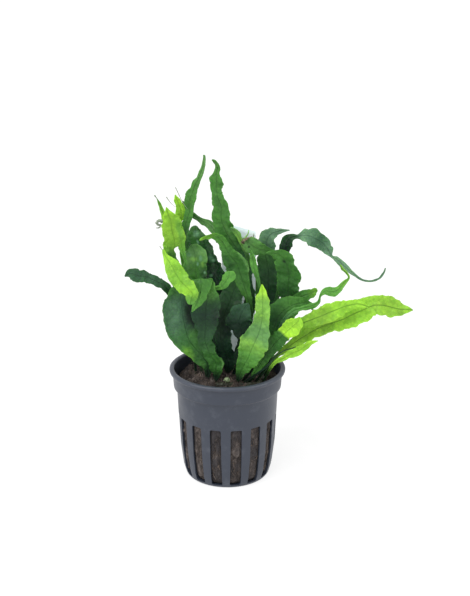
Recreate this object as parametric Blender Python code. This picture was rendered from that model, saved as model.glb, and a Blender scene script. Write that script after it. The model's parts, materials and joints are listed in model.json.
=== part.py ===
"""Potted petite java fern: a slotted net pot full of coir, creeping rhizomes lying on it, narrow
and broad fronds standing up and arching out of them, and a plain label pushed in behind.

Metres, +Z up. The origin is the centre of the pot's underside. -Y is the front of the plant.
All values in the tables below are millimetres; MM turns them into metres.
"""

from math import cos, exp, pi, radians, sin

import bmesh
import bpy
from mathutils import Vector

MM = 0.001
GAP = 0.3

# The net pot
RIM_RADIUS = 27.5
POT_HEIGHT = 54.0
BASE_RADIUS = 19.8
WALL = 1.0
FLOOR = 1.2
COLLAR_BOTTOM = 44.6
COLLAR_RADIUS = 25.8
SLOT_COUNT = 15
SLOT_WIDTH = 5.2
SLOT_BOTTOM = 1.5
SLOT_TOP = 31.0
FIRST_SLOT_ANGLE = 10.4
SLOT_CORNER = 0.8
SLOT_CUT = (17.5, 30.0)
FLOOR_SLOT_COUNT = 5
FLOOR_SLOT_WIDTH = 2.6
FLOOR_SLOT_CORNER = 0.2
FLOOR_SLOT_CUT = (7.0, 15.5)
CUT_BEYOND = 1.5
POT_STEPS = 38
POT_SHARP_ANGLE = 35

# The turned outline as radius and height: wall, foot, collar, rim and the corners inside
WALL_LINE = ((24.1, 44.0), (23.7, 34.0), (22.9, 16.0), (21.6, 5.0))
FOOT_LINE = ((BASE_RADIUS - 1.4, 0.0), (BASE_RADIUS + 0.6, 1.0))
COLLAR_LINE = ((COLLAR_RADIUS - 0.2, COLLAR_BOTTOM), (COLLAR_RADIUS + 0.3, POT_HEIGHT - 2.3))
RIM_LINE = (
    (RIM_RADIUS - 0.2, POT_HEIGHT - 1.8), (RIM_RADIUS, POT_HEIGHT - 0.8),
    (RIM_RADIUS - 0.6, POT_HEIGHT), (RIM_RADIUS - 1.6, POT_HEIGHT),
    (RIM_RADIUS - 2.3, POT_HEIGHT - 0.8),
)
COLLAR_INSIDE = (COLLAR_RADIUS - 0.9, COLLAR_BOTTOM + 0.9)
FLOOR_INSIDE = BASE_RADIUS - 1.2
FLOOR_FILLET = 0.2

# The coir that fills it
COIR_TOP = 46.6
COIR_STEPS = 20
COIR_EDGE_RISE = 0.8
COIR_EDGE_START = 18.0
COIR_EDGE_WIDTH = 6.6
COIR_STEP = (0.4, 1.4)
COIR_MOUND = (-18.6, 0.5)
COIR_MOUND_HEIGHT = 5.0
COIR_MOUND_SPREAD = (3.0, 6.0)
COIR_RINGS = (21.5, 17.5, 12.0, 6.0)

# The rhizomes lie along the coir, left to right: across and behind the axis at each bend
RHIZOME_RADIUS = 1.6
RHIZOME_HEIGHT = 48.9
RHIZOME_END = 0.7
RHIZOMES = {
    "rhizome_front": (
        (-16.0, -6.2), (-9.5, -9.4), (-3.0, -11.6), (4.5, -11.6), (11.5, -10.8), (18.8, -9.4)),
    "rhizome_middle": (
        (-13.4, -2.2), (-6.5, -1.2), (0.5, -2.2), (7.5, -1.2), (13.0, -2.4), (18.6, -4.2)),
    "rhizome_rear": (
        (-14.5, 5.4), (-8.0, 6.2), (-2.0, 7.4), (5.0, 5.6), (11.0, 6.6), (16.0, 5.6)),
    "rhizome_back": (
        (-15.5, 11.4), (-9.5, 16.0), (-1.0, 17.6), (7.5, 17.2), (13.5, 15.2), (18.0, 12.4)),
}

# The plain label
LABEL_WIDTH = 16.0
LABEL_THICKNESS = 0.7
LABEL_LEFT = -2.7
LABEL_BEHIND = 11.5
LABEL_FOOT = COIR_TOP + 0.6
LABEL_TOP_LEFT = 121.0
LABEL_TOP_RIGHT = 116.5

# Frond blades
VIEW_TILT = 17.7
BLADE_THICKNESS = 0.7
TIP_THICKNESS = 0.25
TIP_WIDTH = 0.25
THICKNESS_SHARE = 0.8
FOOT_WIDTH = 1.1
BACK_FOOT_WIDTH = 1.3
MARGIN_WAVE = 0.035
WAVE_LENGTH = 13.0
# The right margin's waves come this much faster than the left's, and start this far round
RIGHT_WAVE = (1.2, 2.0)
FROND_SHARP_ANGLE = 50

# Each frond: the rhizome that it grows from, its foot's place along it and to the side of it, its
# turn at the foot and at the tip (degrees), how deep its midrib lies, and its bends: across, back,
# up and the blade's width there
FRONDS = {
    "frond_tall_left": ("rhizome_rear", -8, -0.4, 10, 30, 0.25, [
        (-10, 2, 71.5, 1.5), (-14.5, 4.5, 92.5, 2.5), (-17, 5.5, 107, 3.5), (-18.5, 5, 114, 4),
        (-19, 5, 120, 4), (-18, 4.5, 124, 4), (-17, 4, 127.5, 4.5), (-17, 4, 131, 5),
        (-16.5, 3.5, 133.5, 5.5), (-15.5, 3, 136.5, 5), (-14, 2.5, 140.5, 3.5), (-12, 2, 144.5, 2.5),
        (-10.5, 1.5, 148.5, 2), (-10, 1, 152, 1.5), (-10, 0, 154, 1)]),
    "frond_tall_right": ("rhizome_rear", 0.6, -0.3, -15, 20, 0.2, [
        (4.5, 3.5, 59.5, 2.5), (8, 4, 70.5, 4), (10.5, 5, 81.5, 5.5), (10.5, 5, 88.5, 5),
        (9.5, 5, 95.5, 4), (9.5, 5, 101.5, 6), (7, 4.5, 106.5, 6.5), (3.5, 4, 112, 7),
        (-0.5, 3, 119, 9), (-2.5, 2.5, 125, 9), (-2.5, 2, 130.5, 7.5), (-4, 1.5, 135, 6.5),
        (-4.5, 1.5, 137.5, 5.5), (-4.5, 1, 140.5, 6.5), (-4.5, 0, 144, 6), (-4.5, -0.5, 146.5, 3.5),
        (-4, -1, 148.5, 2.5), (-4.5, -2, 150.5, 3), (-5.5, -2.5, 152, 2), (-6.5, -3, 152.5, 0.5)]),
    "frond_slim_left": ("rhizome_rear", -13, 0, -20, -20, 0.2, [
        (-16.5, 2, 76.5, 1), (-23, 1, 98.5, 1.5), (-27, 0, 114.5, 2.5), (-28, -1, 123.5, 2.5),
        (-29, -2, 129, 2), (-30, -3, 132.5, 1.5), (-31, -3.5, 135, 0.5), (-32, -4, 137, 0.3)]),
    "frond_light_left": ("rhizome_rear", -10.6, 0.5, -10, -20, 0.2, [
        (-15, 5.5, 75, 1), (-20, 7, 99, 2), (-21.5, 7, 113.5, 2.5), (-22, 7, 120.5, 2.5),
        (-22, 6.5, 123, 3), (-21, 6, 125.5, 5), (-21, 5.5, 127.5, 5.5), (-22, 5, 131, 3.5),
        (-23, 4.5, 133.5, 2.5), (-23.5, 4, 135.5, 0.5)]),
    "frond_diagonal": ("rhizome_rear", -2.4, 0.5, -20, -30, 0.2, [
        (1.5, 8, 74, 1.5), (0.5, 8.5, 99, 2), (-3.5, 9, 113, 3), (-7.5, 9, 119.5, 4),
        (-10.5, 9, 121.5, 3.5), (-13, 9, 123, 2.5), (-16, 9, 125, 2.5), (-18.5, 9.5, 127.5, 3.5),
        (-20.5, 9.5, 131.5, 0.5)]),
    "frond_dark_right": ("rhizome_rear", 7.6, -0.5, 10, 0, 0.15, [
        (15, 3, 71, 3), (19, 3, 84.5, 7), (19, 3, 92, 9), (19, 3, 100, 9.5), (18, 3, 105.5, 8.5),
        (17, 3, 110, 4.5), (16, 3, 113.5, 0.5)]),
    "frond_hooked_right": ("rhizome_rear", 10.2, 0.5, 20, 30, 0.2, [
        (16.5, 7, 77, 1.5), (19.5, 7, 98.5, 5), (19, 6.5, 107.5, 8.5), (18.5, 6, 112.5, 9.5),
        (19.5, 5.5, 116, 7.5), (22.5, 4.5, 118, 4), (25, 3, 119, 2), (28.5, 2, 119.5, 0.5)]),
    "frond_long_tail": ("rhizome_rear", 13.2, 0, 25, 20, 0.2, [
        (19, 4, 73, 2), (25, 3.5, 93, 3), (26, 3, 103, 4.5), (26.5, 3, 109, 5.5), (27.5, 3, 113.5, 6),
        (29.5, 2.5, 116, 4), (32, 2, 116.5, 2), (34.5, 1.5, 117, 4.5), (37.5, 1, 117, 8),
        (41, 0, 115.5, 7.5), (44, -1, 113.5, 6.5), (46, -2, 111, 4.5), (47.5, -2.5, 108.5, 1.5),
        (50, -3, 107, 2.5), (53, -4, 104.5, 3), (55.5, -5, 102.5, 2), (58, -5.5, 100.5, 1.5),
        (61, -6, 98.5, 1), (65, -7, 98, 1), (68.5, -8, 99.5, 1), (70.5, -9, 102.5, 1),
        (71, -10, 105, 0.5)]),
    "frond_yellow_left": ("rhizome_middle", -12.4, 0, -20, -20, 0.2, [
        (-12.5, -3, 70.5, 1.5), (-16.5, -4, 88, 2), (-20, -5.5, 99.5, 3), (-23, -6, 104, 4.5),
        (-24, -6.5, 107.5, 7.5), (-24, -6.5, 112, 10), (-23.5, -7, 116.5, 11), (-24.5, -8, 122, 9.5),
        (-25, -9, 127, 8), (-26, -10, 130, 4), (-26.5, -11, 133, 0.3)]),
    "frond_blistered": ("rhizome_middle", -9.4, 0.2, 0, 0, 0.1, [
        (-8.5, -0.5, 67, 1.5), (-10.5, -1, 84.5, 3), (-12.5, -2, 93, 7.5), (-14, -2, 99, 9.5),
        (-14.5, -2, 104.5, 10.5), (-14.5, -2, 108.5, 11), (-15.5, -2, 112, 7.5), (-16.5, -2, 113.5, 1)]),
    "frond_dark_centre": ("rhizome_middle", -5, 0.7, 8, 0, 0.15, [
        (-0.5, 3, 68.5, 2), (-1, 4, 83, 5.5), (-4, 4, 93, 9), (-7, 3.5, 100, 10), (-10, 3, 105.5, 10.5),
        (-12, 3, 110, 11), (-13.5, 3, 114, 10), (-14.5, 3, 117.5, 8), (-14.5, 2.5, 120, 5),
        (-14, 2.5, 121.5, 1)]),
    "frond_slim_centre": ("rhizome_middle", 5.8, 0.6, -20, 20, 0.2, [
        (7.5, 1, 74, 1), (9.5, 1, 96, 1.5), (9.5, 0.5, 107, 2), (7.5, -1, 112.5, 2),
        (6, -2, 116.5, 2.5), (4.5, -2.5, 119.5, 3), (3, -3, 121, 2.5), (1.5, -3, 122, 0.5)]),
    "frond_small_centre": ("rhizome_middle", 10, 0.4, 0, 10, 0.15, [
        (18.5, -1, 75, 1), (24, -1, 93.5, 1.5), (23.5, -1.5, 102.5, 2), (22, -3, 108.5, 2.5),
        (19, -4, 111.5, 4), (16.5, -4, 112, 6.5), (13.5, -4.5, 113, 8), (10.5, -5, 115, 8.5),
        (8.5, -5, 116.5, 5.5), (7, -5.5, 117.5, 1)]),
    "frond_olive_right": ("rhizome_middle", 11.8, 0, 4, 4, 0.15, [
        (20, -3, 69, 1.5), (26, -3.5, 83.5, 4), (28, -4, 89.5, 8.5), (28, -5.5, 95.5, 10.5),
        (28, -7, 102, 11), (26.5, -8, 107, 10), (24.5, -9, 110.5, 8.5), (21, -9.5, 112, 4.5),
        (17.5, -10, 112, 0.5)]),
    "frond_curling_over": ("rhizome_middle", 3.6, 0, 10, 0, 0.2, [
        (8.5, -3, 65.5, 1.5), (11, -4, 79.5, 2), (10, -5, 88, 3), (8.5, -5, 93, 5),
        (6.5, -5, 99.5, 7.5), (4.5, -5, 105.5, 11), (1.5, -5.5, 109.5, 8), (-1, -6.5, 114.5, 5),
        (-3, -8, 118, 4.5), (-5.5, -10, 120, 4), (-8.5, -11.5, 120, 4), (-10.5, -12.5, 119.5, 2.5),
        (-12, -13, 118.5, 0.5)]),
    "frond_dark_strip": ("rhizome_middle", 0, 0.1, 0, 10, 0.2, [
        (0.5, -3, 55.5, 5.5), (-0.5, -3.5, 60.5, 8.5), (-2, -4, 65, 9), (-3, -4, 70, 10),
        (-2.5, -3.5, 77, 11), (0.5, -2.5, 85, 12), (3, -1, 91, 9.5), (5.5, 0, 96, 5.5),
        (7, 0.5, 99.5, 0.5)]),
    "frond_round_dark": ("rhizome_middle", 2.4, -1.7, -20, -10, 0.1, [
        (5.5, -6.5, 56.5, 4), (5.5, -7, 61, 5), (6.5, -7.5, 65.5, 4), (7, -8, 69.5, 4),
        (6.5, -8.5, 75, 8.5), (5.5, -9.5, 80, 12), (7, -10, 84.5, 9.5), (9, -10, 87.5, 3.5),
        (9.5, -10, 88.5, 0.5)]),
    "frond_yellow_strip": ("rhizome_middle", 7.4, -0.6, 0, 30, 0.2, [
        (11.5, -7, 72, 1), (15, -8.5, 90.5, 1), (14.5, -9, 97.5, 1.5), (13.5, -9, 101, 2.5),
        (12.5, -9, 104.5, 3.5), (12, -9, 107.5, 3.5), (11.5, -9.5, 110.5, 2.5), (10.5, -10, 113.5, 0.5)]),
    "frond_small_curl": ("rhizome_middle", -6.6, -0.9, 0, 20, 0.25, [
        (-5.5, -9, 68, 1), (-8.5, -9.5, 84, 1), (-10, -10, 92, 1), (-8, -11.5, 95, 1.5),
        (-5, -13, 96.5, 2), (-2.5, -13.5, 97.5, 3), (-0.5, -13.5, 100, 4.5), (1, -13.5, 102.5, 5),
        (1, -13, 104.5, 4)]),
    "frond_low_dark": ("rhizome_middle", 14.6, -0.4, 8, 10, 0.2, [
        (17, -7, 60.5, 5.5), (19.5, -8.5, 69, 7.5), (21.5, -9.5, 76.5, 9.5), (24, -10.5, 83, 13),
        (27.5, -11, 86.5, 11), (31.5, -11, 88.5, 7.5), (35.5, -11.5, 89, 4), (39, -11.5, 88.5, 0.5)]),
    "frond_pointing_left": ("rhizome_front", -14.4, 0, -20, -10, 0.15, [
        (-16, -8, 67, 1.5), (-20.5, -9, 82.5, 2), (-24.5, -9.5, 91.5, 3.5), (-28, -11, 97, 4),
        (-31.5, -12.5, 99.5, 4.5), (-35.5, -14, 102, 5), (-39, -15.5, 103, 6), (-41, -16.5, 104, 6),
        (-43, -17, 104.5, 4.5), (-45, -18, 103.5, 0.5)]),
    "frond_broad_left": ("rhizome_front", -9.4, -0.3, -15, -25, 0.2, [
        (-9, -9.5, 57.5, 5), (-10.5, -10, 61.5, 8.5), (-14, -10.5, 66, 9.5), (-17.5, -11, 71.5, 13.5),
        (-19, -11.5, 77, 18), (-20, -12, 83, 19), (-20.5, -12, 88.5, 19), (-21, -12, 93.5, 16),
        (-22, -12, 96.5, 10), (-22.5, -12, 98.5, 0.5)]),
    "frond_band_left": ("rhizome_front", -11.8, 0.5, -10, -10, 0.2, [
        (-14, -5, 71.5, 1.5), (-21.5, -7, 93, 3), (-26, -10, 105, 2.5), (-28, -13, 114, 1),
        (-27, -15.5, 112, 2.5), (-24.5, -18, 109, 6.5), (-22.5, -20.5, 106, 8), (-20, -22.5, 102.5, 8),
        (-17, -24, 100, 7), (-15, -24.5, 97.5, 5.5), (-15.5, -24.5, 95, 5), (-16, -24, 92.5, 2)]),
    "frond_folded_front": ("rhizome_front", -5.4, -0.4, 10, 5, 0.15, [
        (-5, -11, 53, 3), (-5, -12, 57.5, 6), (-5, -12.5, 60.5, 7.5), (-6.5, -13, 63, 7),
        (-8, -13.5, 66, 6.5), (-9, -13.5, 69, 7.5), (-10, -14.5, 73.5, 7), (-9.5, -15, 78, 9.5),
        (-9.5, -15, 82, 12), (-9.5, -15, 86.5, 13), (-9, -15, 91.5, 12.5), (-10, -15.5, 97, 11),
        (-11.5, -17, 102, 10), (-11.5, -19, 101, 9.5), (-11.5, -20, 97.5, 7.5), (-13, -20, 92.5, 5),
        (-15.5, -19.5, 87.5, 0.5)]),
    "frond_bright_front": ("rhizome_front", 4.6, -0.2, 0, 15, 0.25, [
        (7, -12.5, 57.5, 6), (9.5, -14, 63, 9.5), (11.5, -15.5, 69, 12.5), (13.5, -16.5, 74, 12.5),
        (15, -17.5, 79, 9), (16, -18.5, 85.5, 7), (16, -19, 91.5, 7), (16, -19, 96, 4.5),
        (15.5, -18.5, 100, 0.3)]),
    "frond_wiry_right": ("rhizome_front", 7.3, 0.7, 0, 20, 0.2, [
        (20, -13, 68, 1), (23, -14, 75.5, 1), (24.5, -15, 80, 1.5), (26.5, -15.5, 83.5, 2),
        (29.5, -16, 86.5, 2.5), (33, -16.5, 88, 2), (36, -16, 88.5, 2.5), (39, -16, 89.5, 2.5),
        (41, -16, 91, 1.5), (41.5, -16, 93.5, 1), (42.5, -16, 95, 2), (44, -16, 96, 3.5),
        (47, -15.5, 95.5, 4.5), (49, -15, 96, 3.5), (51, -15, 98, 2.5), (52.5, -15, 100, 2),
        (54, -15, 101.5, 1), (54, -15.5, 103, 1), (52.5, -15.5, 105, 1.5), (51, -16, 106.5, 1.5),
        (50, -17, 108.5, 0.5)]),
    "frond_little_right": ("rhizome_middle", 17.8, 0.3, 5, 5, 0.2, [
        (22, -6, 68, 1), (27, -7, 81.5, 1.5), (30.5, -8, 88, 3.5), (32.5, -8.5, 90.5, 5.5),
        (35.5, -9, 92, 5), (38, -9, 93, 4.5), (40, -9, 94, 3.5), (41, -9, 94, 0.5)]),
    "frond_light_upper": ("rhizome_front", 11.3, 1, 15, 20, 0.2, [
        (22.5, -11, 67, 1.5), (28.5, -16, 77, 3), (33.5, -19.5, 82, 5), (38, -21, 84.5, 6.5),
        (43, -22, 87, 8), (47, -22.5, 89, 8), (52, -22.5, 91, 5.5), (57, -22, 92, 3.5),
        (60, -22, 91.5, 2.5), (62.5, -22, 90.5, 0.5)]),
    "frond_long_light": ("rhizome_front", 13.6, -0.2, 20, 25, 0.2, [
        (22.5, -13, 63.5, 2), (28.5, -16, 70, 4), (34, -17, 74.5, 6), (40.5, -18, 79, 7.5),
        (46.5, -18, 81.5, 8), (52, -18, 83.5, 10), (56.5, -18, 86, 11.5), (61, -18, 88, 10.5),
        (65.5, -18, 90, 9), (70, -18.5, 90, 9), (74, -18.5, 89, 9), (77, -19, 88.5, 6),
        (80, -19.5, 88.5, 3.5), (82.5, -20, 88.5, 0.3)]),
    "frond_low_light": ("rhizome_front", 17, -0.9, 20, 20, 0.2, [
        (21, -17, 61.5, 1.5), (25.5, -19.5, 65.5, 2.5), (28.5, -21, 68, 3.5), (32, -22, 70, 4),
        (35, -23, 72.5, 3), (37.5, -23.5, 74.5, 2), (40.5, -24, 75.5, 0.3)]),
    "frond_lime_patch": ("rhizome_front", 10.4, -0.7, 0, 10, 0.15, [
        (15, -13.5, 60, 4), (18, -14.5, 66, 6), (22, -16.5, 72, 7.5), (25.5, -20.5, 77.5, 6.5),
        (28.5, -23.5, 81.5, 8), (31, -25, 84.5, 6), (32, -25.5, 87, 1)]),
    "frond_bare_stalk": ("rhizome_front", 8.3, -0.8, 0, 0, 0, [
        (17, -18, 60, 1), (23.5, -22.5, 69, 0.5), (30.5, -25, 73, 0.5)]),
}

# Fronds at the back arch away in one sweep: the foot's place along the back rhizome, the way they
# lean (degrees right of straight back), their reach, rise and greatest width, and how far they droop
BACK_FRONDS = {
    "frond_back_left_low": (-14.4, -50, 20, 30, 10, 0.9),
    "frond_back_left": (-11.0, -38, 24, 44, 12, 0.7),
    "frond_back_left_inner": (-7.8, -30, 20, 54, 9, 0.5),
    "frond_back_centre": (-2.6, -2, 28, 41, 13, 0.8),
    "frond_back_fallen": (0.8, 2, 30, 22, 8, 1.0),
    "frond_back_right_inner": (4.4, 30, 18, 50, 9, 0.5),
    "frond_back_right": (8.4, 36, 27, 42, 13, 0.8),
    "frond_back_outer_right": (11.8, 45, 21, 20, 7, 0.9),
    "frond_back_right_low": (16.0, 66, 30, 28, 10, 1.0),
    "frond_back_slim_left": (-5.0, 8, 8, 42, 6, 0.3),
    "frond_back_slim_right": (2.6, 16, 11, 53, 8, 0.3),
    "frond_back_far_left": (-12.8, -74, 15, 42, 7, 0.5),
    "frond_back_far_right": (14.0, 78, 15, 44, 7, 0.5),
}
BACK_FOLD = 0.15
BACK_TURN = 0.9
BACK_BEND = 1.5
BACK_RISE = (0.5, 0.22)
# How far along a back frond, and how wide it is there as a share of its greatest width
BACK_OUTLINE = (
    (0.14, 0.14), (0.3, 0.3), (0.44, 0.72), (0.58, 0.98), (0.72, 0.94), (0.87, 0.54), (1.0, 0.04),
)

# Colours as red, green and blue, roughness and metallic value
CHARCOAL = ((0.075, 0.088, 0.11), 0.45, 0.0)
COIR_BROWN = ((0.075, 0.055, 0.045), 0.95, 0.0)
RHIZOME_GREEN = ((0.18, 0.22, 0.09), 0.7, 0.0)
LABEL_WHITE = ((0.72, 0.82, 0.86), 0.4, 0.0)
DEEP_GREEN = ((0.03, 0.085, 0.04), 0.4, 0.0)
MID_GREEN = ((0.065, 0.19, 0.05), 0.4, 0.0)
LIGHT_GREEN = ((0.16, 0.38, 0.06), 0.4, 0.0)
LIME_GREEN = ((0.3, 0.6, 0.06), 0.4, 0.0)
FROND_COLOURS = {
    DEEP_GREEN: ("dark_centre", "dark_right", "dark_strip", "round_dark", "low_dark", "folded_front",
                 "pointing_left", "long_tail", "hooked_right", "bare_stalk"),
    LIGHT_GREEN: ("yellow_left", "light_left", "slim_left", "yellow_strip", "bright_front", "band_left",
                  "wiry_right", "low_light", "slim_centre", "small_curl"),
    LIME_GREEN: ("long_light", "light_upper", "lime_patch"),
}


def clear_scene():
    for old in list(bpy.data.objects):
        bpy.data.objects.remove(old, do_unlink=True)


def paint(piece, look):
    """Give the piece its own Principled material."""
    colour, roughness, metallic = look
    material = bpy.data.materials.new(piece.name)
    material.use_nodes = True
    shader = material.node_tree.nodes["Principled BSDF"]
    shader.inputs["Base Color"].default_value = (*colour, 1.0)
    shader.inputs["Roughness"].default_value = roughness
    shader.inputs["Metallic"].default_value = metallic
    piece.data.materials.append(material)


def add_object(name, data, look=None):
    piece = bpy.data.objects.new(name, data)
    bpy.context.scene.collection.objects.link(piece)
    if look:
        paint(piece, look)
    return piece


def mesh_from(bm, name):
    """Turn the edited mesh into a mesh block with its faces pointing out, and free it."""
    bmesh.ops.recalc_face_normals(bm, faces=bm.faces)
    mesh = bpy.data.meshes.new(name)
    bm.to_mesh(mesh)
    bm.free()
    return mesh


def turned(name, profile, steps):
    """Spin a profile of (radius, height) in mm once round the Z axis. It starts and ends on it."""
    bm = bmesh.new()
    points = [bm.verts.new((radius * MM, 0.0, height * MM)) for radius, height in profile]
    edges = [bm.edges.new(pair) for pair in zip(points, points[1:])]
    bmesh.ops.spin(bm, geom=points + edges, axis=(0, 0, 1), cent=(0, 0, 0), angle=2 * pi,
                   steps=steps, use_merge=True)
    bmesh.ops.remove_doubles(bm, verts=bm.verts, dist=0.01 * MM)
    return mesh_from(bm, name)


def inner_line():
    """The pot's inner wall from just above the floor to just under the collar's step."""
    line = [(radius - WALL, height) for radius, height in reversed(WALL_LINE)]
    line[0] = (line[0][0] - FLOOR_FILLET, line[0][1])
    return [(FLOOR_INSIDE, FLOOR)] + line


def pot_profile():
    """From the axis along the underside, up the outside, over the rim and down the inside."""
    outer = [(0, 0), *FOOT_LINE, *reversed(WALL_LINE), *COLLAR_LINE]
    inner = [COLLAR_INSIDE, *reversed(inner_line()), (0, FLOOR)]
    return outer + list(RIM_LINE) + inner


def cutter_for(piece, name, boxes):
    """Take boxes of (angle, inner radius, outer radius, width, bottom, top, corner) out of the piece."""
    bm = bmesh.new()
    for angle, near, far, width, bottom, top, corner in boxes:
        half = width / 2
        outline = [(-half, bottom), (half, bottom), (half, top - corner), (half - corner, top),
                   (corner - half, top), (-half, top - corner)]
        turn = radians(angle)
        across = Vector((cos(turn), sin(turn), 0))
        out = Vector((sin(turn), -cos(turn), 0))
        face = bm.faces.new([bm.verts.new((out * near + across * x + Vector((0, 0, z))) * MM)
                             for x, z in outline])
        grown = bmesh.ops.extrude_face_region(bm, geom=[face])["geom"]
        moved = [item for item in grown if isinstance(item, bmesh.types.BMVert)]
        bmesh.ops.translate(bm, verts=moved, vec=out * (far - near) * MM)
    cutter = add_object(name, mesh_from(bm, name))
    cutter.hide_render = True
    cutter.display_type = "WIRE"
    cut = piece.modifiers.new(name, "BOOLEAN")
    cut.operation = "DIFFERENCE"
    cut.solver = "EXACT"
    cut.object = cutter


def make_pot():
    pot = add_object("net_pot", turned("net_pot", pot_profile(), POT_STEPS), CHARCOAL)
    pitch = 360 / SLOT_COUNT
    slots = [(FIRST_SLOT_ANGLE + pitch * n, *SLOT_CUT, SLOT_WIDTH, SLOT_BOTTOM, SLOT_TOP, SLOT_CORNER)
             for n in range(SLOT_COUNT)]
    cutter_for(pot, "wall_slots", slots)
    floor_pitch = 360 / FLOOR_SLOT_COUNT
    vents = [(FIRST_SLOT_ANGLE + floor_pitch * n, *FLOOR_SLOT_CUT, FLOOR_SLOT_WIDTH, -CUT_BEYOND,
              FLOOR + CUT_BEYOND, FLOOR_SLOT_CORNER)
             for n in range(FLOOR_SLOT_COUNT)]
    cutter_for(pot, "floor_slots", vents)
    pot.data.shade_smooth()
    pot.data.set_sharp_from_angle(angle=radians(POT_SHARP_ANGLE))


def coir_height(x, y):
    """Height of the coir: nearly level, a little higher by the wall, with a mound on the left."""
    beyond = max(0.0, Vector((x, y)).length - COIR_EDGE_START)
    edge = COIR_EDGE_RISE * (beyond / COIR_EDGE_WIDTH) ** 2
    dx = (x - COIR_MOUND[0]) / COIR_MOUND_SPREAD[0]
    dy = (y - COIR_MOUND[1]) / COIR_MOUND_SPREAD[1]
    return COIR_TOP + edge + COIR_MOUND_HEIGHT * exp(-dx * dx - dy * dy)


def ring_of_points(bm, radius, height_at):
    """One point at each step round the axis, as high as height_at(x, y) says."""
    points = []
    for n in range(COIR_STEPS):
        turn = 2 * pi * n / COIR_STEPS
        x = radius * cos(turn)
        y = radius * sin(turn)
        points.append(bm.verts.new((x * MM, y * MM, height_at(x, y) * MM)))
    return points


def make_coir():
    """A plug inside the wall with the gap kept, and rings of points over its uneven top."""
    side = [(radius - GAP, height) for radius, height in inner_line()]
    side[0] = (side[0][0], FLOOR + GAP)
    side[-1] = (side[-1][0], side[-1][1] + COIR_STEP[0])
    top_radius = COLLAR_INSIDE[0] - GAP
    side.append((top_radius, COLLAR_BOTTOM + COIR_STEP[1]))
    bm = bmesh.new()
    loops = [ring_of_points(bm, radius, lambda x, y, level=height: level) for radius, height in side]
    loops += [ring_of_points(bm, radius, coir_height) for radius in (top_radius, *COIR_RINGS)]
    for lower, upper in zip(loops, loops[1:]):
        for n in range(COIR_STEPS):
            m = (n + 1) % COIR_STEPS
            bm.faces.new((lower[n], lower[m], upper[m], upper[n]))
    bm.faces.new(loops[0])
    centre = bm.verts.new((0, 0, coir_height(0, 0) * MM))
    for n in range(COIR_STEPS):
        bm.faces.new((loops[-1][n], loops[-1][(n + 1) % COIR_STEPS], centre))
    coir = add_object("growing_medium", mesh_from(bm, "growing_medium"), COIR_BROWN)
    coir.data.shade_smooth()


def make_rhizome(name, bends):
    """A creeping stem: a curve with a round section and filled ends."""
    curve = bpy.data.curves.new(name, "CURVE")
    curve.dimensions = "3D"
    curve.bevel_depth = RHIZOME_RADIUS * MM
    curve.bevel_resolution = 1
    curve.use_fill_caps = True
    spline = curve.splines.new("POLY")
    spline.points.add(len(bends) - 1)
    last = len(bends) - 1
    for n, (point, (x, y)) in enumerate(zip(spline.points, bends)):
        point.co = (x * MM, y * MM, RHIZOME_HEIGHT * MM, 1.0)
        point.radius = RHIZOME_END if n in (0, last) else 1.0
    add_object(name, curve, RHIZOME_GREEN)


def make_label():
    """A flat strip standing in the coir, its top edge cut at a slant."""
    right = LABEL_LEFT + LABEL_WIDTH
    outline = [(LABEL_LEFT, LABEL_FOOT), (right, LABEL_FOOT), (right, LABEL_TOP_RIGHT),
               (LABEL_LEFT, LABEL_TOP_LEFT)]
    bm = bmesh.new()
    face = bm.faces.new([bm.verts.new((x * MM, LABEL_BEHIND * MM, z * MM)) for x, z in outline])
    grown = bmesh.ops.extrude_face_region(bm, geom=[face])["geom"]
    moved = [item for item in grown if isinstance(item, bmesh.types.BMVert)]
    bmesh.ops.translate(bm, verts=moved, vec=(0, LABEL_THICKNESS * MM, 0))
    add_object("plant_label", mesh_from(bm, "plant_label"), LABEL_WHITE)


def foot_on(rhizome, along, aside):
    """The point just above the rhizome at this place along it."""
    bends = RHIZOMES[rhizome]
    for (x0, y0), (x1, y1) in zip(bends, bends[1:]):
        if along <= x1:
            break
    share = (along - x0) / (x1 - x0)
    return Vector((along, y0 + (y1 - y0) * share + aside, RHIZOME_HEIGHT + RHIZOME_RADIUS + GAP))


def with_midpoints(rows):
    """The rows with one more between each pair, on the smooth curve through them all."""
    first, last = rows[0], rows[-1]
    before = tuple(2 * a - b for a, b in zip(first, rows[1]))
    after = tuple(2 * a - b for a, b in zip(last, rows[-2]))
    ring = [before] + rows + [after]
    out = []
    for p0, p1, p2, p3 in zip(ring, ring[1:], ring[2:], ring[3:]):
        out.append(p1)
        out.append(tuple((9 * (b + c) - a - d) / 16 for a, b, c, d in zip(p0, p1, p2, p3)))
    return out + [last]


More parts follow.
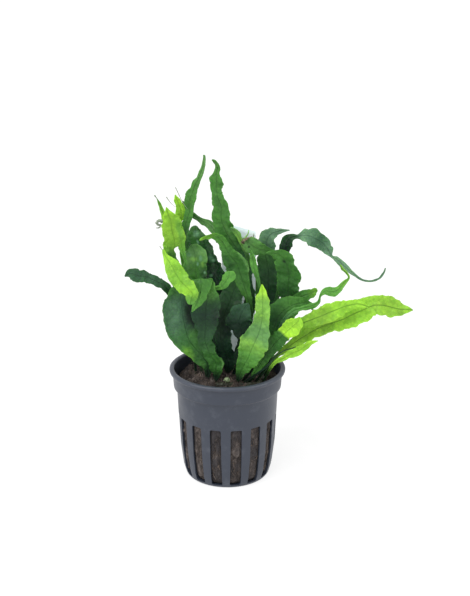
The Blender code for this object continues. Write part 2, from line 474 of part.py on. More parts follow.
def blade_sections(rows, turn_foot, turn_tip, fold):
    """Four points at each row: left margin, back of the midrib, right margin, front of the midrib.

    The blade's width lies across the line of sight at the foot, is carried along without twisting,
    and is then turned about the frond's own line.
    """
    rows = with_midpoints(rows)
    centres = [Vector(row[:3]) for row in rows]
    lengths = [0.0]
    for a, b in zip(centres, centres[1:]):
        lengths.append(lengths[-1] + (b - a).length)
    sight = Vector((0, cos(radians(VIEW_TILT)), -sin(radians(VIEW_TILT))))
    side = None
    sections = []
    for n, centre in enumerate(centres):
        along = (centres[min(n + 1, len(centres) - 1)] - centres[max(n - 1, 0)]).normalized()
        side = along.cross(sight) if side is None else side - along * side.dot(along)
        side.normalize()
        normal = side.cross(along)
        share = lengths[n] / lengths[-1]
        turn = radians(turn_foot + (turn_tip - turn_foot) * share)
        across = side * cos(turn) + normal * sin(turn)
        facing = across.cross(along)
        half = max(rows[n][3], TIP_WIDTH) / 2
        thick = min(BLADE_THICKNESS, max(2 * half * THICKNESS_SHARE, TIP_THICKNESS))
        phase = 2 * pi * lengths[n] / WAVE_LENGTH
        left = facing * (-fold * half + MARGIN_WAVE * 2 * half * sin(phase))
        right_phase = RIGHT_WAVE[0] * phase + RIGHT_WAVE[1]
        right = facing * (-fold * half + MARGIN_WAVE * 2 * half * sin(right_phase))
        sections.append([(centre + across * half + left) * MM, (centre + facing * thick / 2) * MM,
                         (centre - across * half + right) * MM, (centre - facing * thick / 2) * MM])
    return sections


def make_frond(name, rows, turn_foot, turn_tip, fold):
    """Join the sections with quads and close both ends."""
    bm = bmesh.new()
    loops = [[bm.verts.new(point) for point in section]
             for section in blade_sections(rows, turn_foot, turn_tip, fold)]
    for low, high in zip(loops, loops[1:]):
        for n in range(4):
            bm.faces.new((low[n], low[(n + 1) % 4], high[(n + 1) % 4], high[n]))
    bm.faces.new(loops[0])
    bm.faces.new(loops[-1])
    short = name.removeprefix("frond_")
    look = next((colour for colour, names in FROND_COLOURS.items() if short in names), MID_GREEN)
    frond = add_object(name, mesh_from(bm, name), look)
    frond.data.shade_smooth()
    frond.data.set_sharp_from_angle(angle=radians(FROND_SHARP_ANGLE))


def arching_rows(foot, lean, reach, rise, widest, droop):
    """Rows of a frond that sweeps out as a power of its share of the way, and up as a sine."""
    away = Vector((sin(radians(lean)), cos(radians(lean)), 0))
    rows = []
    for share, wide in BACK_OUTLINE:
        up = rise * sin(share * pi * (BACK_RISE[0] + BACK_RISE[1] * droop))
        point = foot + away * reach * share ** BACK_BEND + Vector((0, 0, up))
        rows.append((*point, widest * wide))
    return rows


def make_fronds():
    for name, (rhizome, along, aside, turn_foot, turn_tip, fold, rows) in FRONDS.items():
        foot = foot_on(rhizome, along, aside)
        make_frond(name, [(*foot, FOOT_WIDTH)] + rows, turn_foot, turn_tip, fold)
    for name, (along, lean, reach, rise, widest, droop) in BACK_FRONDS.items():
        foot = foot_on("rhizome_back", along, 0.0)
        rows = arching_rows(foot, lean, reach, rise, widest, droop)
        turn = lean * BACK_TURN
        make_frond(name, [(*foot, BACK_FOOT_WIDTH)] + rows, turn, turn, BACK_FOLD)


def main():
    clear_scene()
    make_pot()
    make_coir()
    for name, bends in RHIZOMES.items():
        make_rhizome(name, bends)
    make_label()
    make_fronds()


main()
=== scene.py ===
"""Looks of the potted petite java fern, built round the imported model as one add-on run as a script.

Lengths in the tables are millimetres unless a property says otherwise; MM turns them into metres.
+Z is up, -Y is the front of the plant and the origin is the centre of the pot's underside.
"""

import json

import bmesh
import bpy
import numpy as np
from bpy.props import FloatProperty, FloatVectorProperty, IntProperty, PointerProperty
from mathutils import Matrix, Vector


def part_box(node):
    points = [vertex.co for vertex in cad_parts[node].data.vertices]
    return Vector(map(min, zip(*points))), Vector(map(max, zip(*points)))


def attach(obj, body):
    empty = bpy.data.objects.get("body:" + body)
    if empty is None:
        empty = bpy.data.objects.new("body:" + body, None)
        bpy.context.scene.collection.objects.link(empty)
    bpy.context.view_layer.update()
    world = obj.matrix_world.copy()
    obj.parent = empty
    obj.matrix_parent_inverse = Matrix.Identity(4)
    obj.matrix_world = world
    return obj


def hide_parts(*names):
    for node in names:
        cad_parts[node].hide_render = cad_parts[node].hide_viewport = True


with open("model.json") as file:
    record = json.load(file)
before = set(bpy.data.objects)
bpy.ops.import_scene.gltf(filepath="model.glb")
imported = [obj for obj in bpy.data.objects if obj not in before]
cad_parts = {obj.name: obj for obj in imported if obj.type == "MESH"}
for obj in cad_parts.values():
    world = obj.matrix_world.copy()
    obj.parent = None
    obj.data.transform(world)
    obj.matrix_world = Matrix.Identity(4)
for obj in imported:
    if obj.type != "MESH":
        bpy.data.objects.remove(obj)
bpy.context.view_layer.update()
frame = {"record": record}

bl_info = {
    "name": "Potted petite java fern",
    "version": (1, 0, 0),
    "blender": (4, 5, 0),
    "location": "3D View > Sidebar > Fern",
    "description": "Makes the finished surfaces of a potted java fern round its packed model",
    "category": "Object",
}

MM = 0.001
BODY = "root"
POT_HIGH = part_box("net_pot")[1]
LABEL_LOW, LABEL_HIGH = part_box("plant_label")
SKIN_SLOTS = {part["node"]: part["material_slot"] for part in frame["record"]["subparts"]}
POT_HEIGHT = POT_HIGH.z / MM

# The camera's place in metres and its tilt, and the way it looks
CAMERA_PLACE = (0.0036, -0.4097, 0.2185)
CAMERA_TILT = np.radians(17.7)
SIGHT = np.array([0.0, np.cos(CAMERA_TILT), -np.sin(CAMERA_TILT)])

# The rhizomes' height and radius, the height (as a share of the radius) and size of the knobs and scars on
# them, and how far across and behind the axis each bend is, as in the solids
RHIZOME_HEIGHT = 48.9
RHIZOME_RADIUS = 1.6
RHIZOME_KNOBS = ((0.13, 2.4), (0.06, 0.8))
RHIZOME_SEED = 50
RHIZOMES = {
    "front": ((-16.0, -6.2), (-9.5, -9.4), (-3.0, -11.6), (4.5, -11.6), (11.5, -10.8), (18.8, -9.4)),
    "middle": ((-13.4, -2.2), (-6.5, -1.2), (0.5, -2.2), (7.5, -1.2), (13.0, -2.4), (18.6, -4.2)),
    "rear": ((-14.5, 5.4), (-8.0, 6.2), (-2.0, 7.4), (5.0, 5.6), (11.0, 6.6), (16.0, 5.6)),
    "back": ((-15.5, 11.4), (-9.5, 16.0), (-1.0, 17.6), (7.5, 17.2), (13.5, 15.2), (18.0, 12.4)),
}

# Each frond as in the solids: its rhizome, its foot along it and to its side, its turn at foot and
# tip (degrees), its midrib's depth, and its bends: across, back, up and the blade's width there
FRONDS = {
    "tall_left": ("rear", -8, -0.4, 10, 30, 0.25, [
        (-10, 2, 71.5, 1.5), (-14.5, 4.5, 92.5, 2.5), (-17, 5.5, 107, 3.5), (-18.5, 5, 114, 4),
        (-19, 5, 120, 4), (-18, 4.5, 124, 4), (-17, 4, 127.5, 4.5), (-17, 4, 131, 5),
        (-16.5, 3.5, 133.5, 5.5), (-15.5, 3, 136.5, 5), (-14, 2.5, 140.5, 3.5), (-12, 2, 144.5, 2.5),
        (-10.5, 1.5, 148.5, 2), (-10, 1, 152, 1.5), (-10, 0, 154, 1)]),
    "tall_right": ("rear", 0.6, -0.3, -15, 20, 0.2, [
        (4.5, 3.5, 59.5, 2.5), (8, 4, 70.5, 4), (10.5, 5, 81.5, 5.5), (10.5, 5, 88.5, 5),
        (9.5, 5, 95.5, 4), (9.5, 5, 101.5, 6), (7, 4.5, 106.5, 6.5), (3.5, 4, 112, 7), (-0.5, 3, 119, 9),
        (-2.5, 2.5, 125, 9), (-2.5, 2, 130.5, 7.5), (-4, 1.5, 135, 6.5), (-4.5, 1.5, 137.5, 5.5),
        (-4.5, 1, 140.5, 6.5), (-4.5, 0, 144, 6), (-4.5, -0.5, 146.5, 3.5), (-4, -1, 148.5, 2.5),
        (-4.5, -2, 150.5, 3), (-5.5, -2.5, 152, 2), (-6.5, -3, 152.5, 0.5)]),
    "slim_left": ("rear", -13, 0, -20, -20, 0.2, [
        (-16.5, 2, 76.5, 1), (-23, 1, 98.5, 1.5), (-27, 0, 114.5, 2.5), (-28, -1, 123.5, 2.5),
        (-29, -2, 129, 2), (-30, -3, 132.5, 1.5), (-31, -3.5, 135, 0.5), (-32, -4, 137, 0.3)]),
    "light_left": ("rear", -10.6, 0.5, -10, -20, 0.2, [
        (-15, 5.5, 75, 1), (-20, 7, 99, 2), (-21.5, 7, 113.5, 2.5), (-22, 7, 120.5, 2.5),
        (-22, 6.5, 123, 3), (-21, 6, 125.5, 5), (-21, 5.5, 127.5, 5.5), (-22, 5, 131, 3.5),
        (-23, 4.5, 133.5, 2.5), (-23.5, 4, 135.5, 0.5)]),
    "diagonal": ("rear", -2.4, 0.5, -20, -30, 0.2, [
        (1.5, 8, 74, 1.5), (0.5, 8.5, 99, 2), (-3.5, 9, 113, 3), (-7.5, 9, 119.5, 4),
        (-10.5, 9, 121.5, 3.5), (-13, 9, 123, 2.5), (-16, 9, 125, 2.5), (-18.5, 9.5, 127.5, 3.5),
        (-20.5, 9.5, 131.5, 0.5)]),
    "dark_right": ("rear", 7.6, -0.5, 10, 0, 0.15, [
        (15, 3, 71, 3), (19, 3, 84.5, 7), (19, 3, 92, 9), (19, 3, 100, 9.5), (18, 3, 105.5, 8.5),
        (17, 3, 110, 4.5), (16, 3, 113.5, 0.5)]),
    "hooked_right": ("rear", 10.2, 0.5, 20, 30, 0.2, [
        (16.5, 7, 77, 1.5), (19.5, 7, 98.5, 5), (19, 6.5, 107.5, 8.5), (18.5, 6, 112.5, 9.5),
        (19.5, 5.5, 116, 7.5), (22.5, 4.5, 118, 4), (25, 3, 119, 2), (28.5, 2, 119.5, 0.5)]),
    "long_tail": ("rear", 13.2, 0, 25, 20, 0.2, [
        (19, 4, 73, 2), (25, 3.5, 93, 3), (26, 3, 103, 4.5), (26.5, 3, 109, 5.5), (27.5, 3, 113.5, 6),
        (29.5, 2.5, 116, 4), (32, 2, 116.5, 2), (34.5, 1.5, 117, 4.5), (37.5, 1, 117, 8),
        (41, 0, 115.5, 7.5), (44, -1, 113.5, 6.5), (46, -2, 111, 4.5), (47.5, -2.5, 108.5, 1.5),
        (50, -3, 107, 2.5), (53, -4, 104.5, 3), (55.5, -5, 102.5, 2), (58, -5.5, 100.5, 1.5),
        (61, -6, 98.5, 1), (65, -7, 98, 1), (68.5, -8, 99.5, 1), (70.5, -9, 102.5, 1),
        (71, -10, 105, 0.5)]),
    "yellow_left": ("middle", -12.4, 0, -20, -20, 0.2, [
        (-12.5, -3, 70.5, 1.5), (-16.5, -4, 88, 2), (-20, -5.5, 99.5, 3), (-23, -6, 104, 4.5),
        (-24, -6.5, 107.5, 7.5), (-24, -6.5, 112, 10), (-23.5, -7, 116.5, 11), (-24.5, -8, 122, 9.5),
        (-25, -9, 127, 8), (-26, -10, 130, 4), (-26.5, -11, 133, 0.3)]),
    "blistered": ("middle", -9.4, 0.2, 0, 0, 0.1, [
        (-8.5, -0.5, 67, 1.5), (-10.5, -1, 84.5, 3), (-12.5, -2, 93, 7.5), (-14, -2, 99, 9.5),
        (-14.5, -2, 104.5, 10.5), (-14.5, -2, 108.5, 11), (-15.5, -2, 112, 7.5), (-16.5, -2, 113.5, 1)]),
    "dark_centre": ("middle", -5, 0.7, 8, 0, 0.15, [
        (-0.5, 3, 68.5, 2), (-1, 4, 83, 5.5), (-4, 4, 93, 9), (-7, 3.5, 100, 10), (-10, 3, 105.5, 10.5),
        (-12, 3, 110, 11), (-13.5, 3, 114, 10), (-14.5, 3, 117.5, 8), (-14.5, 2.5, 120, 5),
        (-14, 2.5, 121.5, 1)]),
    "slim_centre": ("middle", 5.8, 0.6, -20, 20, 0.2, [
        (7.5, 1, 74, 1), (9.5, 1, 96, 1.5), (9.5, 0.5, 107, 2), (7.5, -1, 112.5, 2), (6, -2, 116.5, 2.5),
        (4.5, -2.5, 119.5, 3), (3, -3, 121, 2.5), (1.5, -3, 122, 0.5)]),
    "small_centre": ("middle", 10, 0.4, 0, 10, 0.15, [
        (18.5, -1, 75, 1), (24, -1, 93.5, 1.5), (23.5, -1.5, 102.5, 2), (22, -3, 108.5, 2.5),
        (19, -4, 111.5, 4), (16.5, -4, 112, 6.5), (13.5, -4.5, 113, 8), (10.5, -5, 115, 8.5),
        (8.5, -5, 116.5, 5.5), (7, -5.5, 117.5, 1)]),
    "olive_right": ("middle", 11.8, 0, 4, 4, 0.15, [
        (20, -3, 69, 1.5), (26, -3.5, 83.5, 4), (28, -4, 89.5, 8.5), (28, -5.5, 95.5, 10.5),
        (28, -7, 102, 11), (26.5, -8, 107, 10), (24.5, -9, 110.5, 8.5), (21, -9.5, 112, 4.5),
        (17.5, -10, 112, 0.5)]),
    "curling_over": ("middle", 3.6, 0, 10, 0, 0.2, [
        (8.5, -3, 65.5, 1.5), (11, -4, 79.5, 2), (10, -5, 88, 3), (8.5, -5, 93, 5), (6.5, -5, 99.5, 7.5),
        (4.5, -5, 105.5, 11), (1.5, -5.5, 109.5, 8), (-1, -6.5, 114.5, 5), (-3, -8, 118, 4.5),
        (-5.5, -10, 120, 4), (-8.5, -11.5, 120, 4), (-10.5, -12.5, 119.5, 2.5), (-12, -13, 118.5, 0.5)]),
    "dark_strip": ("middle", 0, 0.1, 0, 10, 0.2, [
        (0.5, -3, 55.5, 5.5), (-0.5, -3.5, 60.5, 8.5), (-2, -4, 65, 9), (-3, -4, 70, 10),
        (-2.5, -3.5, 77, 11), (0.5, -2.5, 85, 12), (3, -1, 91, 9.5), (5.5, 0, 96, 5.5),
        (7, 0.5, 99.5, 0.5)]),
    "round_dark": ("middle", 2.4, -1.7, -20, -10, 0.1, [
        (5.5, -6.5, 56.5, 4), (5.5, -7, 61, 5), (6.5, -7.5, 65.5, 4), (7, -8, 69.5, 4),
        (6.5, -8.5, 75, 8.5), (5.5, -9.5, 80, 12), (7, -10, 84.5, 9.5), (9, -10, 87.5, 3.5),
        (9.5, -10, 88.5, 0.5)]),
    "yellow_strip": ("middle", 7.4, -0.6, 0, 30, 0.2, [
        (11.5, -7, 72, 1), (15, -8.5, 90.5, 1), (14.5, -9, 97.5, 1.5), (13.5, -9, 101, 2.5),
        (12.5, -9, 104.5, 3.5), (12, -9, 107.5, 3.5), (11.5, -9.5, 110.5, 2.5), (10.5, -10, 113.5, 0.5)]),
    "small_curl": ("middle", -6.6, -0.9, 0, 20, 0.25, [
        (-5.5, -9, 68, 1), (-8.5, -9.5, 84, 1), (-10, -10, 92, 1), (-8, -11.5, 95, 1.5),
        (-5, -13, 96.5, 2), (-2.5, -13.5, 97.5, 3), (-0.5, -13.5, 100, 4.5), (1, -13.5, 102.5, 5),
        (1, -13, 104.5, 4)]),
    "low_dark": ("middle", 14.6, -0.4, 8, 10, 0.2, [
        (17, -7, 60.5, 5.5), (19.5, -8.5, 69, 7.5), (21.5, -9.5, 76.5, 9.5), (24, -10.5, 83, 13),
        (27.5, -11, 86.5, 11), (31.5, -11, 88.5, 7.5), (35.5, -11.5, 89, 4), (39, -11.5, 88.5, 0.5)]),
    "pointing_left": ("front", -14.4, 0, -20, -10, 0.15, [
        (-16, -8, 67, 1.5), (-20.5, -9, 82.5, 2), (-24.5, -9.5, 91.5, 3.5), (-28, -11, 97, 4),
        (-31.5, -12.5, 99.5, 4.5), (-35.5, -14, 102, 5), (-39, -15.5, 103, 6), (-41, -16.5, 104, 6),
        (-43, -17, 104.5, 4.5), (-45, -18, 103.5, 0.5)]),
    "broad_left": ("front", -9.4, -0.3, -15, -25, 0.2, [
        (-9, -9.5, 57.5, 5), (-10.5, -10, 61.5, 8.5), (-14, -10.5, 66, 9.5), (-17.5, -11, 71.5, 13.5),
        (-19, -11.5, 77, 18), (-20, -12, 83, 19), (-20.5, -12, 88.5, 19), (-21, -12, 93.5, 16),
        (-22, -12, 96.5, 10), (-22.5, -12, 98.5, 0.5)]),
    "band_left": ("front", -11.8, 0.5, -10, -10, 0.2, [
        (-14, -5, 71.5, 1.5), (-21.5, -7, 93, 3), (-26, -10, 105, 2.5), (-28, -13, 114, 1),
        (-27, -15.5, 112, 2.5), (-24.5, -18, 109, 6.5), (-22.5, -20.5, 106, 8), (-20, -22.5, 102.5, 8),
        (-17, -24, 100, 7), (-15, -24.5, 97.5, 5.5), (-15.5, -24.5, 95, 5), (-16, -24, 92.5, 2)]),
    "folded_front": ("front", -5.4, -0.4, 10, 5, 0.15, [
        (-5, -11, 53, 3), (-5, -12, 57.5, 6), (-5, -12.5, 60.5, 7.5), (-6.5, -13, 63, 7),
        (-8, -13.5, 66, 6.5), (-9, -13.5, 69, 7.5), (-10, -14.5, 73.5, 7), (-9.5, -15, 78, 9.5),
        (-9.5, -15, 82, 12), (-9.5, -15, 86.5, 13), (-9, -15, 91.5, 12.5), (-10, -15.5, 97, 11),
        (-11.5, -17, 102, 10), (-11.5, -19, 101, 9.5), (-11.5, -20, 97.5, 7.5), (-13, -20, 92.5, 5),
        (-15.5, -19.5, 87.5, 0.5)]),
    "bright_front": ("front", 4.6, -0.2, 0, 15, 0.25, [
        (7, -12.5, 57.5, 6), (9.5, -14, 63, 9.5), (11.5, -15.5, 69, 12.5), (13.5, -16.5, 74, 12.5),
        (15, -17.5, 79, 9), (16, -18.5, 85.5, 7), (16, -19, 91.5, 7), (16, -19, 96, 4.5),
        (15.5, -18.5, 100, 0.3)]),
    "wiry_right": ("front", 7.3, 0.7, 0, 20, 0.2, [
        (20, -13, 68, 1), (23, -14, 75.5, 1), (24.5, -15, 80, 1.5), (26.5, -15.5, 83.5, 2),
        (29.5, -16, 86.5, 2.5), (33, -16.5, 88, 2), (36, -16, 88.5, 2.5), (39, -16, 89.5, 2.5),
        (41, -16, 91, 1.5), (41.5, -16, 93.5, 1), (42.5, -16, 95, 2), (44, -16, 96, 3.5),
        (47, -15.5, 95.5, 4.5), (49, -15, 96, 3.5), (51, -15, 98, 2.5), (52.5, -15, 100, 2),
        (54, -15, 101.5, 1), (54, -15.5, 103, 1), (52.5, -15.5, 105, 1.5), (51, -16, 106.5, 1.5),
        (50, -17, 108.5, 0.5)]),
    "little_right": ("middle", 17.8, 0.3, 5, 5, 0.2, [
        (22, -6, 68, 1), (27, -7, 81.5, 1.5), (30.5, -8, 88, 3.5), (32.5, -8.5, 90.5, 5.5),
        (35.5, -9, 92, 5), (38, -9, 93, 4.5), (40, -9, 94, 3.5), (41, -9, 94, 0.5)]),
    "light_upper": ("front", 11.3, 1, 15, 20, 0.2, [
        (22.5, -11, 67, 1.5), (28.5, -16, 77, 3), (33.5, -19.5, 82, 5), (38, -21, 84.5, 6.5),
        (43, -22, 87, 8), (47, -22.5, 89, 8), (52, -22.5, 91, 5.5), (57, -22, 92, 3.5),
        (60, -22, 91.5, 2.5), (62.5, -22, 90.5, 0.5)]),
    "long_light": ("front", 13.6, -0.2, 20, 25, 0.2, [
        (22.5, -13, 63.5, 2), (28.5, -16, 70, 4), (34, -17, 74.5, 6), (40.5, -18, 79, 7.5),
        (46.5, -18, 81.5, 8), (52, -18, 83.5, 10), (56.5, -18, 86, 11.5), (61, -18, 88, 10.5),
        (65.5, -18, 90, 9), (70, -18.5, 90, 9), (74, -18.5, 89, 9), (77, -19, 88.5, 6),
        (80, -19.5, 88.5, 3.5), (82.5, -20, 88.5, 0.3)]),
    "low_light": ("front", 17, -0.9, 20, 20, 0.2, [
        (21, -17, 61.5, 1.5), (25.5, -19.5, 65.5, 2.5), (28.5, -21, 68, 3.5), (32, -22, 70, 4),
        (35, -23, 72.5, 3), (37.5, -23.5, 74.5, 2), (40.5, -24, 75.5, 0.3)]),
    "lime_patch": ("front", 10.4, -0.7, 0, 10, 0.15, [
        (15, -13.5, 60, 4), (18, -14.5, 66, 6), (22, -16.5, 72, 7.5), (25.5, -20.5, 77.5, 6.5),
        (28.5, -23.5, 81.5, 8), (31, -25, 84.5, 6), (32, -25.5, 87, 1)]),
    "bare_stalk": ("front", 8.3, -0.8, 0, 0, 0, [
        (17, -18, 60, 1), (23.5, -22.5, 69, 0.5), (30.5, -25, 73, 0.5)]),
}

# Each back frond: foot along the back rhizome, lean, reach, rise, greatest width and droop
BACK_FRONDS = {
    "back_left_low": (-14.4, -50, 20, 30, 10, 0.9),
    "back_left": (-11.0, -38, 24, 44, 12, 0.7),
    "back_left_inner": (-7.8, -30, 20, 54, 9, 0.5),
    "back_centre": (-2.6, -2, 28, 41, 13, 0.8),
    "back_fallen": (0.8, 2, 30, 22, 8, 1.0),
    "back_right_inner": (4.4, 30, 18, 50, 9, 0.5),
    "back_right": (8.4, 36, 27, 42, 13, 0.8),
    "back_outer_right": (11.8, 45, 21, 20, 7, 0.9),
    "back_right_low": (16.0, 66, 30, 28, 10, 1.0),
    "back_slim_left": (-5.0, 8, 8, 42, 6, 0.3),
    "back_slim_right": (2.6, 16, 11, 53, 8, 0.3),
    "back_far_left": (-12.8, -74, 15, 42, 7, 0.5),
    "back_far_right": (14.0, 78, 15, 44, 7, 0.5),
}
BACK_FOLD = 0.15
BACK_TWIST = 0.9

# Width of a stalk where it leaves its rhizome, in front and at the back, how far it goes down into
# the rhizome, and how far its foot stands over the rhizome's skin
STALK_WIDTH = 1.1
BACK_STALK_WIDTH = 1.3
ROOT_DEPTH = 1.6
FOOT_LIFT = 0.3

# The outline of a back frond: shares of the length and of the greatest width
BACK_OUTLINE = (
    (0.14, 0.14), (0.3, 0.3), (0.44, 0.72), (0.58, 0.98), (0.72, 0.94), (0.87, 0.54), (1.0, 0.04),
)

# The greens of the fronds; the last of them, a pale blue-green, is laid on in small spots as painted
# highlights
GREENS = {
    "shade": "#14231b", "bottle": "#1e3828", "pine": "#2a4d2c", "moss": "#38682d", "fern": "#487d36",
    "leek": "#619150", "meadow": "#5b9640", "grass": "#7bb04a", "spring": "#74ab36", "olive": "#82b037",
    "lime": "#8fc63a", "sun": "#a6de3e", "slate": "#3b6044", "ash": "#668b6b", "glint_highlight": "#78ab84",
}

# Each frond's greens from its foot to its tip: share of the length and name
COLOURS = {
    "tall_left": ((0.3, "pine"), (0.6, "moss"), (0.74, "fern"), (0.85, "fern"), (1.0, "leek")),
    "tall_right": ((0.3, "pine"), (0.5, "slate"), (0.62, "moss"), (0.75, "fern"), (1.0, "fern")),
    "slim_left": ((0.3, "moss"), (0.6, "spring"), (0.85, "lime"), (1.0, "meadow")),
    "light_left": ((0.3, "moss"), (0.6, "meadow"), (0.8, "spring"), (1.0, "sun")),
    "diagonal": ((0.3, "pine"), (0.55, "meadow"), (0.65, "moss"), (0.8, "leek"), (0.9, "moss")),
    "dark_right": ((0.2, "shade"), (0.5, "bottle"), (0.8, "pine"), (0.95, "moss")),
    "hooked_right": ((0.3, "bottle"), (0.6, "pine"), (0.74, "slate"), (0.86, "ash"), (1.0, "ash")),
    "long_tail": ((0.3, "bottle"), (0.5, "bottle"), (0.57, "pine"), (0.6, "ash"), (0.66, "slate"),
        (0.74, "ash"), (1.0, "ash")),
    "yellow_left": ((0.3, "moss"), (0.6, "meadow"), (0.72, "spring"), (0.86, "olive"), (0.97, "lime")),
    "blistered": ((0.3, "pine"), (0.6, "moss"), (0.85, "fern"), (0.93, "leek"), (1.0, "fern")),
    "dark_centre": ((0.3, "shade"), (0.6, "bottle"), (0.85, "pine"), (1.0, "moss")),
    "slim_centre": ((0.3, "shade"), (0.6, "pine"), (0.72, "moss"), (0.8, "leek"), (0.9, "grass"),
        (1.0, "leek")),
    "small_centre": ((0.3, "bottle"), (0.6, "moss"), (0.8, "fern"), (1.0, "leek")),
    "olive_right": ((0.2, "bottle"), (0.45, "pine"), (0.75, "moss"), (0.95, "fern")),
    "curling_over": ((0.3, "bottle"), (0.5, "fern"), (0.65, "moss"), (0.8, "fern"), (0.9, "meadow"),
        (0.97, "spring")),
    "dark_strip": ((0.2, "bottle"), (0.35, "bottle"), (0.5, "shade"), (0.8, "pine"), (1.0, "moss")),
    "round_dark": ((0.2, "bottle"), (0.5, "shade"), (0.75, "bottle"), (1.0, "slate")),
    "yellow_strip": ((0.3, "pine"), (0.6, "moss"), (0.8, "fern"), (0.9, "meadow"), (1.0, "fern")),
    "small_curl": ((0.3, "bottle"), (0.55, "moss"), (0.8, "meadow"), (1.0, "meadow")),
    "low_dark": ((0.1, "moss"), (0.4, "moss"), (0.6, "pine"), (0.8, "fern"), (1.0, "fern")),
    "pointing_left": ((0.3, "pine"), (0.5, "slate"), (0.65, "pine"), (0.8, "slate"), (1.0, "slate")),
    "broad_left": ((0.1, "pine"), (0.4, "moss"), (0.65, "slate"), (0.85, "slate"), (1.0, "fern")),
    "band_left": ((0.3, "fern"), (0.6, "lime"), (0.75, "lime"), (0.85, "spring"), (0.93, "lime"),
        (1.0, "meadow")),
    "folded_front": ((0.0, "pine"), (0.1, "moss"), (0.2, "moss"), (0.34, "pine"), (0.5, "bottle"),
        (0.6, "pine"), (0.7, "fern"), (0.8, "fern"), (1.0, "meadow")),
    "bright_front": ((0.0, "moss"), (0.14, "fern"), (0.3, "meadow"), (0.42, "grass"), (0.5, "leek"),
        (0.6, "leek"), (0.72, "grass"), (0.85, "grass"), (0.95, "sun")),
    "wiry_right": ((0.2, "bottle"), (0.4, "slate"), (0.6, "meadow"), (0.8, "meadow"), (0.92, "spring")),
    "little_right": ((0.2, "shade"), (0.5, "pine"), (0.75, "moss"), (0.9, "fern"), (1.0, "spring")),
    "light_upper": ((0.15, "moss"), (0.45, "spring"), (0.7, "olive"), (0.8, "lime"), (0.9, "lime")),
    "long_light": ((0.1, "moss"), (0.25, "olive"), (0.5, "olive"), (0.7, "lime"), (0.85, "olive"),
        (1.0, "olive")),
    "low_light": ((0.1, "fern"), (0.4, "lime"), (0.8, "lime"), (1.0, "sun")),
    "yellow_slip": ((0.3, "spring"), (0.7, "meadow"), (1.0, "meadow")),
    "lime_patch": ((0.2, "fern"), (0.5, "moss"), (0.7, "moss"), (0.735, "sun"), (1.0, "lime")),
    "bare_stalk": ((0.1, "shade"), (0.5, "bottle"), (1.0, "pine")),
    "back": ((0.2, "pine"), (0.5, "moss"), (0.9, "fern")),
}
